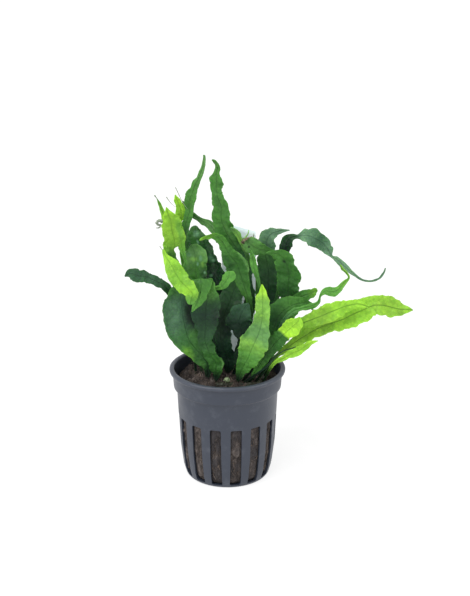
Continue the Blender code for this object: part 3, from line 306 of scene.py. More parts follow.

# What each frond has of its own, where it isn't as DETAIL_DEFAULTS says: how glossy it is, how high its
# blisters are, how far up its foot is darkened as painted shade (mm), how dark its midrib is, how ragged its
# margins are and how far they wave (share of the width). Then notches (share of the length, side, depth as a
# share of the half width, length in mm) and patches (share of the length, place across from -1 to 1, half
# length and half width in mm, green, strength). The broad patches in the darkest green are painted shade, and
# the small spots in the pale blue-green are painted highlights
DETAIL_DEFAULTS = {"gloss": 0.0, "blister": 1.0, "foot": 8.0, "midrib": 0.55, "ragged": 1.0, "notches": (),
                   "patches": ()}
DETAILS = {
    "tall_right": {
        "notches": ((0.91, 1, -0.12, 0.8), (0.935, 1, 0.2, 1.2)),
        "patches": ((0.66, -0.2, 9.0, 2.0, "leek", 0.35), (0.8, 0.3, 6.0, 1.6, "pine", 0.3)),
    },
    "yellow_slip": {"foot": 0.1},
    "tall_left": {"patches": ((0.62, 0.0, 7.0, 3.0, "pine", 0.6),)},
    # The moss band across yellow_left at its split is a painted shadow cast by the frond's upper blade
    "yellow_left": {
        "foot": 20.0,
        "notches": ((0.757, -1, 0.96, 2.8), (0.715, -1, 0.62, 3.0), (0.83, 1, 0.08, 1.2)),
        "patches": ((0.715, 0.3, 5.0, 8.0, "moss", 0.9), (0.86, -0.7, 7.0, 2.2, "meadow", 0.6),
            (0.93, 0.7, 5.0, 1.6, "sun", 0.4)),
    },
    "band_left": {
        "foot": 20.0,
        "patches": ((0.9, -0.6, 6.0, 1.8, "grass", 0.5), (0.98, 0.0, 3.0, 4.0, "meadow", 0.5)),
    },
    # On blistered, the small spots of pale blue-green are painted highlights on its glossy blisters
    "blistered": {
        "gloss": 0.6, "blister": 1.8,
        "patches": ((0.72, -0.8, 9.0, 3.0, "bottle", 0.8), (0.86, 0.5, 6.0, 3.0, "leek", 0.5),
            (0.895, 0.13, 1.3, 1.9, "grass", 0.6), (0.9, -0.42, 1.4, 1.0, "glint_highlight", 0.6),
            (0.857, -0.2, 1.3, 0.7, "glint_highlight", 0.7), (0.857, -0.6, 1.8, 0.9, "grass", 0.7),
            (0.79, -0.8, 0.9, 0.7, "glint_highlight", 0.6), (0.94, 0.5, 1.6, 1.6, "glint_highlight", 0.35)),
    },
    # On dark_centre, the small spots of pale blue-green are painted highlights on its glossy blisters
    "dark_centre": {
        "gloss": 0.8, "blister": 2.2,
        "patches": ((0.92, 0.2, 6.0, 3.0, "moss", 0.5), (0.77, -0.5, 2.6, 1.7, "glint_highlight", 0.45),
            (0.75, -0.6, 0.9, 0.9, "glint_highlight", 0.7), (0.845, -0.05, 1.9, 0.8, "glint_highlight", 0.5),
            (0.895, 0.0, 1.3, 0.6, "glint_highlight", 0.7), (0.95, -0.1, 2.3, 1.7, "glint_highlight", 0.55),
            (0.67, 0.3, 1.0, 1.0, "glint_highlight", 0.55), (0.7, -0.1, 1.6, 0.7, "slate", 0.7)),
    },
    "dark_right": {"gloss": 0.15, "blister": 0.6, "patches": ((0.62, 0.3, 7.0, 2.0, "pine", 0.5),)},
    "dark_strip": {"gloss": 0.15, "blister": 0.6, "patches": ((0.45, 0.2, 6.0, 2.4, "pine", 0.4),)},
    # small_centre's dark dot is painted shade where a hole through the blade shows the dark behind it
    "small_centre": {"patches": ((0.94, 0.35, 0.7, 0.7, "shade", 0.9),)},
    "olive_right": {
        "patches": ((0.855, 0.1, 1.1, 0.8, "shade", 0.85), (0.6, 0.5, 8.0, 2.4, "pine", 0.6)),
        "notches": ((0.83, -1, 0.3, 1.6), (0.7, -1, 0.12, 1.0)),
    },
    # The pale strip along curling_over's right margin is a painted highlight on its rolled edge
    "curling_over": {
        "patches": ((0.7, 0.5, 10.0, 2.4, "pine", 0.5), (0.62, 0.5, 7.0, 1.6, "fern", 0.4),
            (0.66, -0.92, 14.0, 0.9, "leek", 0.8)),
    },
    "folded_front": {
        "patches": ((0.66, -0.3, 5.0, 6.0, "meadow", 0.5), (0.88, 0.1, 6.0, 4.0, "meadow", 0.4),
            (0.5, -0.8, 9.0, 3.0, "shade", 0.6), (0.86, 0.0, 0.5, 0.3, "shade", 0.8),
            (0.15, -0.9, 2.6, 0.8, "leek", 0.8)),
    },
    "bright_front": {
        "patches": ((0.51, 0.85, 3.4, 2.0, "moss", 0.75), (0.2, 0.5, 5.0, 2.4, "fern", 0.5)),
    },
    # The darkest patch over broad_left's right half is painted shade on the half that is folded away
    "broad_left": {
        "foot": 10.0, "wave": 0.012, "ragged": 0.5,
        "patches": ((0.7, -0.42, 13.0, 4.4, "shade", 1.0), (0.72, 0.5, 11.0, 4.4, "ash", 0.4),
            (0.5, -0.35, 3.6, 3.4, "fern", 0.5), (0.38, 0.75, 4.4, 2.4, "spring", 0.45),
            (0.2, 0.7, 4.4, 2.0, "meadow", 0.4)),
    },
    "pointing_left": {"foot": 20.0, "patches": ((0.6, 0.0, 4.0, 4.0, "leek", 0.5),)},
    "slim_left": {"foot": 20.0},
    "light_left": {"foot": 20.0},
    "low_light": {"foot": 17.0},
    "light_upper": {"foot": 13.0, "midrib": 1.0},
    "long_tail": {"patches": ((0.5, 0.0, 9.0, 4.0, "shade", 0.6),)},
    "long_light": {
        "foot": 16.0, "midrib": 1.0,
        "patches": ((0.6, 0.6, 9.0, 2.2, "spring", 0.5), (0.98, 0.0, 3.0, 3.0, "lime", 0.6)),
    },
    "lime_patch": {"notches": ((0.8, 1, 0.12, 0.8),)},
}

# The loose side of the split in the yellow frond: bends across, back and up, and the width there
SLIP = ((-21.2, -5.8, 121.6, 3.6), (-20.7, -6.2, 118.2, 4.2), (-20.3, -6.6, 114.4, 3.6),
    (-19.8, -6.8, 112.1, 2.7), (-19.2, -6.6, 109.9, 1.9), (-18.8, -6.4, 107.8, 1.1),
    (-18.6, -6.3, 105.4, 0.3))

# The skins of the thin bits: two colours and the roughness
THREAD_SKINS = {
    "dried_thread": ("#667060", "#a9b3a0", 0.8),
    "green_sliver": ("#5f9a45", "#93c66a", 0.6),
    "brown_curl": ("#453f30", "#857a5c", 0.8),
}

# Dried threads, a green sliver and small curled bits: the skin, the radius, and the bends across, back and up
THREADS = (
    ("dried_thread", 0.2, ((-23.2, 2.0, 139.4), (-22.0, 2.0, 136.7), (-20.3, 2.5, 133.0),
        (-18.0, 3.4, 129.0))),
    ("dried_thread", 0.22, ((-27.5, 4.0, 134.5), (-25.6, 4.3, 131.7), (-23.5, 4.6, 129.7))),
    ("dried_thread", 0.2, ((-29.8, -10.0, 115.0), (-28.4, -8.5, 112.3), (-27.0, -7.2, 110.0))),
    ("dried_thread", 0.25, ((-32.2, -4.0, 136.8), (-31.0, -3.6, 135.2), (-30.4, -3.2, 133.0))),
    ("dried_thread", 0.8, ((-29.2, -1.8, 124.6), (-30.4, -2.4, 125.0), (-31.6, -2.6, 124.2),
        (-31.0, -2.2, 123.0), (-29.8, -2.0, 122.8), (-30.6, -2.6, 121.8), (-31.8, -2.4, 121.6))),
    ("dried_thread", 0.5, ((11.6, -5.0, 117.6), (11.9, -5.0, 118.6), (12.0, -5.0, 119.7))),
    ("green_sliver", 0.56, ((7.6, -4.0, 116.2), (8.4, -4.0, 117.8), (9.1, -4.0, 118.7),
        (9.6, -4.0, 119.8), (9.8, -4.0, 121.2))),
    ("brown_curl", 0.85, ((6.9, -6.4, 115.6), (7.6, -6.5, 116.9), (8.7, -6.3, 117.6), (9.9, -6.0, 117.9),
        (11.2, -5.8, 118.4))),
)
THREAD_SEED = 70

# The new bud's bends
BUD = ((-1.6, -14.0, 52.2), (-0.6, -14.3, 53.0), (0.4, -14.4, 52.6), (1.2, -14.2, 53.2))
BUD_SEED = 80


class FernPot(bpy.types.PropertyGroup):
    """Sizes and colours of the net pot."""

    plastic: FloatVectorProperty(name="Plastic", description="Colour of the moulded pot",
                                 subtype="COLOR", size=4, min=0.0, max=1.0,
                                 default=(0.028, 0.035, 0.053, 1.0))
    # This colour is also laid over the top of the lip, where it is partly wear and partly a painted highlight
    worn_and_highlight: FloatVectorProperty(name="Worn plastic", description="Colour where the pot is rubbed",
                              subtype="COLOR", size=4, min=0.0, max=1.0, default=(0.09, 0.1, 0.125, 1.0))
    slot_width: FloatProperty(name="Slot width", description="Width of the slots in the wall",
                              subtype="DISTANCE", unit="LENGTH", default=5.2 * MM, min=1.0 * MM, max=8.0 * MM)
    slot_corner: FloatProperty(name="Slot corner", description="Radius of the slots' corners",
                               subtype="DISTANCE", unit="LENGTH", default=0.8 * MM, min=0.1 * MM,
                               max=2.0 * MM)
    bevel: FloatProperty(name="Edge rounding", description="Width of the rounding on the moulded edges",
                         subtype="DISTANCE", unit="LENGTH", default=0.14 * MM, min=0.0, max=0.3 * MM)


class FernCoir(bpy.types.PropertyGroup):
    """Colour and make-up of the coir in the pot."""

    # The dark colour lies in the bumps' hollows, where it is partly painted shade, and on dark stretches of
    # fibre
    dark: FloatVectorProperty(name="Dark coir", description="Colour of the coir in its hollows",
                              subtype="COLOR", size=4, min=0.0, max=1.0, default=(0.021, 0.018, 0.018, 1.0))
    light: FloatVectorProperty(name="Pale coir", description="Colour of the coir's dry tufts",
                               subtype="COLOR", size=4, min=0.0, max=1.0, default=(0.175, 0.145, 0.13, 1.0))
    top_fibres: IntProperty(name="Fibres on top", description="Number of loose fibres on the top",
                            default=2200, min=0, max=6000)
    side_fibres: IntProperty(name="Fibres in slots", description="Number of loose fibres seen in the slots",
                             default=900, min=0, max=6000)
    fibre_radius: FloatProperty(name="Fibre radius", description="Radius of one loose fibre",
                                subtype="DISTANCE", unit="LENGTH", default=0.09 * MM, min=0.02 * MM,
                                max=0.4 * MM)


class FernFronds(bpy.types.PropertyGroup):
    """Finish and fineness of the fronds."""

    step: FloatProperty(name="Step", description="Spacing of the sections along a frond", subtype="DISTANCE",
                        unit="LENGTH", default=0.5 * MM, min=0.2 * MM, max=2.0 * MM)
    around: IntProperty(name="Points round", description="Points round one section of a frond", default=44,
                        min=12, max=80)
    blister: FloatProperty(name="Blisters", description="Height of the blisters between the veins",
                           subtype="DISTANCE", unit="LENGTH", default=0.3 * MM, min=0.0, max=1.0 * MM)
    wave: FloatProperty(name="Margin wave", description="Wave of the margins as a share of the blade's width",
                        subtype="FACTOR", default=0.05, min=0.0, max=0.3)
    gloss: FloatProperty(name="Roughness", description="Roughness of a frond's skin", subtype="FACTOR",
                         default=0.42, min=0.0, max=1.0)
    glow: FloatProperty(name="Light let through", description="Share of the light that spreads in the blade",
                        subtype="FACTOR", default=0.15, min=0.0, max=1.0)


class FernStage(bpy.types.PropertyGroup):
    """The camera, the lamps and the floor."""

    tilt: FloatProperty(name="Camera tilt", description="How far the camera looks down", subtype="ANGLE",
                        unit="ROTATION", default=CAMERA_TILT, min=0.0, max=1.5)
    lens: FloatProperty(name="Focal length", description="Focal length of the camera",
                        subtype="DISTANCE_CAMERA", unit="CAMERA", default=56.0, min=10.0, max=200.0)
    sun: FloatProperty(name="Window light", description="Strength of the broad light from the upper left",
                       default=1.5, min=0.0, max=20.0)
    fill: FloatProperty(name="Fill lamps", description="Power of each soft lamp at the sides",
                        subtype="POWER", unit="POWER", default=0.9, min=0.0, max=50.0)
    sky: FloatProperty(name="Surroundings", description="Brightness of the white surroundings", default=0.8,
                       min=0.0, max=5.0)


def add_piece(name, points, faces, material, replaced=(), maps=None):
    """Put points (mm) and faces into a smooth mesh at the origin that rides on the body.

    Each map gives a pair of numbers for every point, kept as a UV map of that name.
    """
    mesh = bpy.data.meshes.new(name)
    mesh.from_pydata((points * MM).tolist(), [], faces)
    shell = bmesh.new()
    shell.from_mesh(mesh)
    bmesh.ops.recalc_face_normals(shell, faces=shell.faces)
    shell.to_mesh(mesh)
    shell.free()
    corners = np.empty(len(mesh.loops), np.int32)
    mesh.loops.foreach_get("vertex_index", corners)
    for label, pairs in (maps or {}).items():
        layer = mesh.uv_layers.new(name=label)
        layer.data.foreach_set("uv", pairs[corners].astype(np.float32).ravel())
    mesh.shade_smooth()
    mesh.materials.append(material)
    piece = bpy.data.objects.new(name, mesh)
    bpy.context.scene.collection.objects.link(piece)
    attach(piece, BODY)
    if replaced:
        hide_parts(*replaced)
    return piece


def joined_rings(rings):
    """Points and faces of tubes given as (tube, ring, point round, xyz), each end closed to its middle.

    Every ring is joined to the next by quads, and a fan of triangles joins an end ring to one point.
    """
    tubes, count, around, _ = rings.shape
    ends = np.stack([rings[:, 0].mean(1), rings[:, -1].mean(1)], 1)
    points = np.concatenate([rings.reshape(-1, 3), ends.reshape(-1, 3)])
    start = (np.arange(tubes) * count * around)[:, None, None]
    ring = np.arange(count - 1)[None, :, None] * around
    this = np.arange(around)[None, None, :]
    after = (this + 1) % around
    low, high = start + ring, start + ring + around
    quads = np.stack([low + this, low + after, high + after, high + this], -1).reshape(-1, 4)
    first, last = start[:, 0], start[:, 0] + (count - 1) * around
    foot = rings.shape[0] * count * around + 2 * np.arange(tubes)[:, None]
    this, after = this[0], after[0]
    whole = np.zeros((tubes, around), int)
    fans = np.concatenate([
        np.stack([first + after, first + this, foot + whole], -1).reshape(-1, 3),
        np.stack([last + this, last + after, foot + 1 + whole], -1).reshape(-1, 3)])
    return points, quads.tolist() + fans.tolist()


def ripple(places, size, seed, waves=14):
    """Smooth unevenness of about -1 to 1: a sum of sine waves, each with a direction, a length near the
    size and a start that are drawn from the seed."""
    draw = np.random.default_rng(seed)
    ways = draw.normal(size=(waves, places.shape[-1]))
    ways *= (2 * np.pi / size / draw.uniform(0.7, 1.7, waves) / np.linalg.norm(ways, axis=1))[:, None]
    return np.sin(places @ ways.T + draw.uniform(0, 2 * np.pi, waves)).sum(-1) / np.sqrt(waves)


def unit(vectors):
    """The vectors divided by their lengths."""
    return vectors / np.maximum(np.linalg.norm(vectors, axis=-1, keepdims=True), 1e-9)


def tube_rings(paths, radii, around):
    """Rings round paths given as (tube, point, xyz): each ring is a circle across the path's own way."""
    along = unit(np.gradient(paths, axis=1))
    helper = np.where(np.abs(along[..., 2:]) < 0.9, np.array([0.0, 0.0, 1.0]), np.array([1.0, 0.0, 0.0]))
    side = unit(np.cross(along, helper))
    up = np.cross(side, along)
    turn = np.linspace(0, 2 * np.pi, around, endpoint=False)
    circle = side[..., None, :] * np.cos(turn)[:, None] + up[..., None, :] * np.sin(turn)[:, None]
    return paths[..., None, :] + circle * radii[..., None, None]


def add_tubes(name, paths, radii, around, material, slot):
    """One piece of round tubes along these paths."""
    points, faces = joined_rings(tube_rings(paths, radii, around))
    add_piece(name, points, faces, material)


def smooth_line(rows, spacing):
    """Even steps along the smooth curve through the rows, and the length reached at each.

    Between two rows the curve is the Catmull-Rom cubic of the four nearest ones.
    """
    rows = np.asarray(rows, float)
    ring = np.vstack([2 * rows[0] - rows[1], rows, 2 * rows[-1] - rows[-2]])
    a, b, c, d = (ring[n:len(ring) - 3 + n, None, :] for n in range(4))
    t = np.linspace(0, 1, 16, endpoint=False)[None, :, None]
    curve = b + ((c - a) * t + (2 * a - 5 * b + 4 * c - d) * t**2 + (3 * b - 3 * c + d - a) * t**3) / 2
    fine = np.vstack([curve.reshape(-1, rows.shape[1]), rows[-1:]])
    lengths = np.concatenate([[0.0], np.cumsum(np.linalg.norm(np.diff(fine[:, :3], axis=0), axis=1))])
    even = np.linspace(0, lengths[-1], max(int(lengths[-1] / spacing), 6))
    return np.stack([np.interp(even, lengths, fine[:, n]) for n in range(rows.shape[1])], -1), even


def shade(code):
    """The linear colour of a hexadecimal screen colour."""
    screen = np.array([int(code[n:n + 2], 16) for n in (1, 3, 5)]) / 255
    linear = np.where(screen <= 0.04045, screen / 12.92, ((screen + 0.055) / 1.055) ** 2.4)
    return (*linear.tolist(), 1.0)


def fill(tree, sockets, inputs):
    """Fill sockets with values or with links from other nodes."""
    for socket, value in inputs.items():
        if isinstance(value, bpy.types.NodeSocket):
            tree.links.new(value, sockets[socket])
        else:
            sockets[socket].default_value = value


def node(tree, kind, inputs=None, **options):
    """Add a node with its options, and fill its sockets."""
    made = tree.nodes.new(kind)
    for option, value in options.items():
        setattr(made, option, value)
    fill(tree, made.inputs, inputs or {})
    return made


def sums(tree, operation, a, b=0.0):
    """One step of arithmetic on two values or links."""
    return node(tree, "ShaderNodeMath", {0: a, 1: b}, operation=operation).outputs[0]


def eased(tree, value, low, high, bottom=0.0, top=1.0):
    """The value taken smoothly from bottom to top as it goes from low to high."""
    inputs = {"Value": value, "From Min": low, "From Max": high, "To Min": bottom, "To Max": top}
    return node(tree, "ShaderNodeMapRange", inputs, interpolation_type="SMOOTHSTEP").outputs["Result"]


def tinted(tree, share, under, over, blend_type="MIX"):
    """One colour laid over another by a share."""
    made = node(tree, "ShaderNodeMix", {0: share, 6: under, 7: over}, data_type="RGBA", blend_type=blend_type)
    return made.outputs[2]


def stepped(tree, value, stops):
    """A colour ramp through (place, colour) stops."""
    ramp = node(tree, "ShaderNodeValToRGB", {0: value})
    band = ramp.color_ramp
    band.elements[0].position, band.elements[0].color = stops[0]
    band.elements[1].position, band.elements[1].color = stops[-1]
    for place, colour in stops[1:-1]:
        band.elements.new(place).color = colour
    return ramp.outputs["Color"]


def clouds(tree, where, scale, detail=3.0, roughness=0.5):
    """Cloudy noise from 0 to 1, with this many clouds to the metre."""
    inputs = {"Vector": where, "Scale": scale, "Detail": detail, "Roughness": roughness}
    return node(tree, "ShaderNodeTexNoise", inputs).outputs["Fac"]


def new_material(name):
    """A node material, with its tree, its Principled shader and the piece's own coordinates."""
    material = bpy.data.materials.new(name)
    material.use_nodes = True
    tree = material.node_tree
    where = node(tree, "ShaderNodeTexCoord").outputs["Object"]
    return material, tree, tree.nodes["Principled BSDF"], where


def dressed(material, shader, colour, rough, height, distance, strength):
    """Give the shader its colour, its roughness and bumps, whose height of 1 stands for this distance."""
    tree = material.node_tree
    bumps = node(tree, "ShaderNodeBump", {"Height": height, "Distance": distance, "Strength": strength})
    fill(tree, shader.inputs, {"Base Color": colour, "Roughness": rough, "Normal": bumps.outputs["Normal"]})
    return material


def pot_plastic(settings):
    """Moulded charcoal plastic: faint mould grain, dull water marks, paler rubbed patches, and a paler lip
    top that is partly wear and partly a painted highlight.
    """
    material, tree, shader, where = new_material("charcoal_plastic")
    height = node(tree, "ShaderNodeSeparateXYZ", {0: where}).outputs["Z"]
    rubbed = sums(tree, "MULTIPLY", eased(tree, clouds(tree, where, 160.0, 5.0, 0.65), 0.5, 0.75), 0.35)
    marks = eased(tree, clouds(tree, where, 45.0, 2.0), 0.45, 0.7)
    # Wear and painted highlight: the top of the lip turns paler towards the worn colour
    rim = eased(tree, height, (POT_HEIGHT - 2.0) * MM, (POT_HEIGHT + 0.5) * MM, 0.0, 0.35)
    colour = tinted(tree, rubbed, tuple(settings.plastic), tuple(settings.worn_and_highlight))
    colour = tinted(tree, rim, colour, tuple(settings.worn_and_highlight))
    rough = sums(tree, "ADD", sums(tree, "MULTIPLY", marks, 0.12), 0.4)
    return dressed(material, shader, colour, rough, clouds(tree, where, 2600.0, 2.0), 0.06 * MM, 0.6)


# The coir's middle, palest and lower dark colours, the heights between which the lower darkening fades out,
# and the middle and palest colours of its fibres
COIR_MIDDLE = (0.055, 0.042, 0.036, 1.0)
COIR_PALE = (0.26, 0.2, 0.16, 1.0)
COIR_LOWER_DARK = (0.03, 0.027, 0.03, 1.0)
DARKENING_LEVELS = (34.0, 40.0)
FIBRE_MIDDLE = (0.075, 0.056, 0.045, 1.0)
FIBRE_PALE = (0.24, 0.18, 0.14, 1.0)


def coir_matter(settings):
    """Matted coir: dark hollows, partly painted shade, paler tufts and stretched strands, with darker patches
    lower down that fade out between two heights.
    """
    material, tree, shader, where = new_material("coir_matter")
    lumps = clouds(tree, where, 210.0, 6.0, 0.7)
    stretched = node(tree, "ShaderNodeMapping", {"Vector": where, "Scale": (1.0, 1.0, 0.35)}).outputs[0]
    strands = clouds(tree, stretched, 900.0, 4.0, 0.7)
    mixed = sums(tree, "ADD", sums(tree, "MULTIPLY", lumps, 0.6), sums(tree, "MULTIPLY", strands, 0.4))
    # The colour follows the bumps' height: darkest in their hollows, partly as painted shade, palest on the
    # tufts
    colour = stepped(tree, mixed, ((0.36, tuple(settings.dark)), (0.5, COIR_MIDDLE),
                                   (0.62, tuple(settings.light)), (0.74, COIR_PALE)))
    height = node(tree, "ShaderNodeSeparateXYZ", {0: where}).outputs["Z"]
    # Darker lower down, in cloudy patches, fading out between the two heights
    lower_dark = sums(tree, "MULTIPLY", eased(tree, height, DARKENING_LEVELS[0] * MM, DARKENING_LEVELS[1] * MM, 1.0, 0.0),
                eased(tree, clouds(tree, where, 95.0, 2.0), 0.4, 0.62, 0.85, 0.2))
    colour = tinted(tree, lower_dark, colour, COIR_LOWER_DARK)
    return dressed(material, shader, colour, 0.92, mixed, 1.2 * MM, 0.9)


def fibre_matter(settings):
    """Single coir fibres, each stretch a little paler or darker."""
    material, tree, shader, where = new_material("coir_fibre")
    tone = clouds(tree, where, 330.0, 2.0)
    colour = stepped(tree, tone, ((0.3, tuple(settings.dark)), (0.52, FIBRE_MIDDLE), (0.74, FIBRE_PALE)))
    return dressed(material, shader, colour, 0.8, clouds(tree, where, 3000.0), 0.03 * MM, 0.5)


# How much darker and paler than its green a leaf is in its mottling, veins and margins, and in the painted
# shade between its blisters
DARKER = (0.5, 0.56, 0.56, 1.0)
PALER = (1.5, 1.4, 1.15, 1.0)

# Clouds of the mottling and cells of the blisters to the metre, and how strongly each tints the leaf; the
# cells darken the hollows between the blisters as painted shade
BROAD_CLOUDS, FINE_CLOUDS, BLISTER_CELLS = 130.0, 520.0, 620.0
BROAD_TINT, FINE_TINT, HOLLOW_SHADE_TINT = 0.6, 0.45, 0.4

# The side veins: spacing along the leaf (mm), how far they climb for each mm across, and how strongly they
# and the margins tint the leaf
VEIN_SPACING = 2.4
VEIN_SLANT = 0.8
VEIN_TINT = 0.12
MARGIN_TINT = 0.3


def leaf_skin(name, colours, patches, detail, settings):
    """A frond's skin, green by its share of the length, with painted shade at its foot, patches (among them
    painted shade and painted highlights), a midrib, side veins, blisters with painted shade between them, and
    mottling.

    The map "blade" holds the share of the length and the place across from -1 to 1, moved to 0 to 1.
    The map "flat" holds the length and the distance across in centimetres. A patch is an ellipse with an
    uneven edge. A side vein is a fold of the length less VEIN_SLANT times the distance across.
    """
    gloss, foot = detail["gloss"], detail["foot"] / 10
    material, tree, shader, where = new_material(name)
    blade = node(tree, "ShaderNodeSeparateXYZ", {0: node(tree, "ShaderNodeUVMap", uv_map="blade").outputs[0]})
    share, place = blade.outputs[0], blade.outputs[1]
    flat_map = node(tree, "ShaderNodeUVMap", uv_map="flat").outputs[0]
    flat = node(tree, "ShaderNodeSeparateXYZ", {0: flat_map})
    length, across = flat.outputs[0], sums(tree, "ABSOLUTE", flat.outputs[1])
    margin = sums(tree, "ABSOLUTE", sums(tree, "SUBTRACT", sums(tree, "MULTIPLY", place, 2.0), 1.0))

    drift = sums(tree, "MULTIPLY", sums(tree, "SUBTRACT", clouds(tree, where, 350.0), 0.5), 0.12)
    colour = stepped(tree, share, [(at, shade(GREENS[green])) for at, green in colours])
    for at, beside, (tall, wide), green, strength in patches:
        on = sums(tree, "DIVIDE", sums(tree, "SUBTRACT", length, at), tall)
        off = sums(tree, "DIVIDE", sums(tree, "SUBTRACT", flat.outputs[1], beside), wide)
        gap = node(tree, "ShaderNodeCombineXYZ", {0: on, 1: off, 2: 0.0}).outputs[0]
        reach = node(tree, "ShaderNodeVectorMath", {0: gap}, operation="LENGTH").outputs["Value"]
        ragged = sums(tree, "ADD", reach, sums(tree, "MULTIPLY", drift, 6.0))
        colour = tinted(tree, eased(tree, ragged, 0.25, 1.2, strength, 0.0), colour, shade(GREENS[green]))
    # Painted shade at the crown: the first stretch of the stalk, up to the foot's length, turns to the
    # darkest green
    colour = tinted(tree, eased(tree, length, 0.4 * foot, foot, 0.9, 0.0), colour, shade(GREENS["shade"]))
    dark = tinted(tree, 1.0, colour, DARKER, "MULTIPLY")
    pale = tinted(tree, 1.0, colour, PALER, "MULTIPLY")

    broad = clouds(tree, where, BROAD_CLOUDS, 2.0)
    fine = clouds(tree, where, FINE_CLOUDS, 3.0, 0.6)
    cells = node(tree, "ShaderNodeTexVoronoi", {"Vector": where, "Scale": BLISTER_CELLS, "Smoothness": 0.6},
                 feature="SMOOTH_F1").outputs["Distance"]
    colour = tinted(tree, eased(tree, broad, 0.42, 0.66, 0.0, BROAD_TINT), colour, dark)
    colour = tinted(tree, eased(tree, fine, 0.5, 0.7, 0.0, FINE_TINT), colour, pale)
    # Painted shade: darker towards the cells' edges, where the bumps sink into the hollows between the
    # blisters
    colour = tinted(tree, eased(tree, cells, 0.4, 0.75, 0.0, HOLLOW_SHADE_TINT), colour, dark)

    climb = sums(tree, "SUBTRACT", length, sums(tree, "MULTIPLY", across, VEIN_SLANT))
    course = sums(tree, "PINGPONG", sums(tree, "ADD", climb, drift), VEIN_SPACING / 20)
    vein = eased(tree, course, 0.004, 0.022, 1.0, 0.0)
    vein = sums(tree, "MULTIPLY", vein, eased(tree, across, 0.03, 0.12))
    waver = sums(tree, "ADD", across, sums(tree, "MULTIPLY", drift, 0.15))
    midrib = eased(tree, waver, 0.008, 0.034, 1.0, 0.0)
    colour = tinted(tree, sums(tree, "MULTIPLY", vein, VEIN_TINT), colour, dark)
    colour = tinted(tree, sums(tree, "MULTIPLY", midrib, detail["midrib"]), colour, dark)
    colour = tinted(tree, sums(tree, "MULTIPLY", eased(tree, margin, 0.88, 0.99), MARGIN_TINT), colour, pale)

    rough = sums(tree, "ADD", sums(tree, "MULTIPLY", fine, 0.2), settings.gloss - 0.1 - 0.2 * gloss)
    fill(tree, shader.inputs, {
        "Specular IOR Level": 0.16 + 0.15 * gloss, "Subsurface Weight": settings.glow,
        "Subsurface Radius": (0.5, 1.0, 0.2), "Subsurface Scale": 1.2 * MM})
    relief = sums(tree, "SUBTRACT", sums(tree, "MULTIPLY", fine, 0.5), sums(tree, "MULTIPLY", cells, 0.8))
    creases = sums(tree, "MAXIMUM", sums(tree, "MULTIPLY", vein, 0.35), midrib)
    relief = sums(tree, "SUBTRACT", relief, sums(tree, "MULTIPLY", creases, 0.6))
    return dressed(material, shader, colour, rough, relief, 0.35 * MM * (1 - 0.5 * gloss), 0.8)


def stem_skin(name, low, high, scale, rough):
    """A stem's skin: two colours mottled together, with fine scales."""
    material, tree, shader, where = new_material(name)
    colour = stepped(tree, clouds(tree, where, scale, 4.0, 0.65), ((0.35, shade(low)), (0.65, shade(high))))
    return dressed(material, shader, colour, rough, clouds(tree, where, scale * 3.0), 0.3 * MM, 0.8)


def label_card():
    """Plain pale-blue plastic card, a little dulled and clouded."""
    material, tree, shader, where = new_material("label_card")
    tone = clouds(tree, where, 90.0)
    colour = stepped(tree, tone, ((0.3, shade("#d9eef0")), (0.7, shade("#eef7f6"))))
    rough = eased(tree, tone, 0.3, 0.7, 0.3, 0.45)
    return dressed(material, shader, colour, rough, clouds(tree, where, 1500.0), 0.04 * MM, 0.4)


# The greys of the floor that the pot stands on, and how much it glows
GROUND_GREYS = ((0.3, (0.26, 0.26, 0.26, 1.0)), (0.7, (0.28, 0.28, 0.28, 1.0)))
GROUND_GLOW = 0.75


def floor_paper():
    """Matt pale paper with a faint grain, which glows enough to turn out white."""
    material, tree, shader, where = new_material("floor_paper")
    fill(tree, shader.inputs, {
        "Base Color": stepped(tree, clouds(tree, where, 60.0), GROUND_GREYS), "Roughness": 0.95,
        "Specular IOR Level": 0.1, "Emission Color": (1.0, 1.0, 1.0, 1.0), "Emission Strength": GROUND_GLOW})
    return material


# The pot's slots: how many, the first one's angle (degrees), and the heights of their ends
SLOTS = 15
FIRST_SLOT = 10.4
SLOT_LEVELS = (1.5, 31.0)

# The vents in the pot's floor: the radii of their ends, their width, and the slots from one to the next
VENTS = (7.0, 15.5)
VENT_WIDTH = 2.6
VENT_EVERY = 3

# The pot's floor: its thickness, the radii of its rings, and the radius that the vents' columns go out to
FLOOR = 1.2
FLOOR_RADII = (1.5, 4.0, VENTS[0], 9.8, 12.6, VENTS[1], 17.4)
FLOOR_EDGE = 17.0

# The roundings below the wall and in the pot's foot, and the smallest radius that a slot is laid out on
BASE = ((18.8, 0.0), (19.5, 0.1), (20.0, 0.35), (20.3, 0.75), (20.42, 1.1))
FILLET = ((18.7, 1.35), (18.3, FLOOR))
SLOT_FOOT_RADIUS = 20.0

# The wall's radii at some heights, the heights of its rings above the slots, and the line from the wall's
# outside over the collar and lip to its inside
WALL_HEIGHTS = (1.0, 5.0, 16.0, 34.0, 44.0)
OUTER_RADII = (20.4, 21.6, 22.9, 23.7, 24.1)
INNER_RADII = (18.6, 20.4, 21.9, 22.7, 23.1)
UPPER_LEVELS = (33.0, 36.0, 40.0, 43.4)
COLLAR = (
    (24.25, 44.0), (24.7, 44.35), (25.25, 44.5), (25.55, 44.75), (25.65, 45.2), (25.75, 47.0), (25.9, 49.5),
    (26.02, 51.2), (26.15, 51.65), (26.5, 51.8), (27.0, 51.95), (27.35, 52.3), (27.5, 52.8), (27.5, 53.2),
    (27.35, 53.65), (27.0, 53.93), (26.5, 54.0), (25.9, 54.0), (25.5, 53.85), (25.25, 53.5), (25.15, 53.0),
    (25.1, 51.0), (25.0, 48.0), (24.9, 45.8), (24.6, 45.2), (23.9, 44.7), (23.3, 44.3),
)

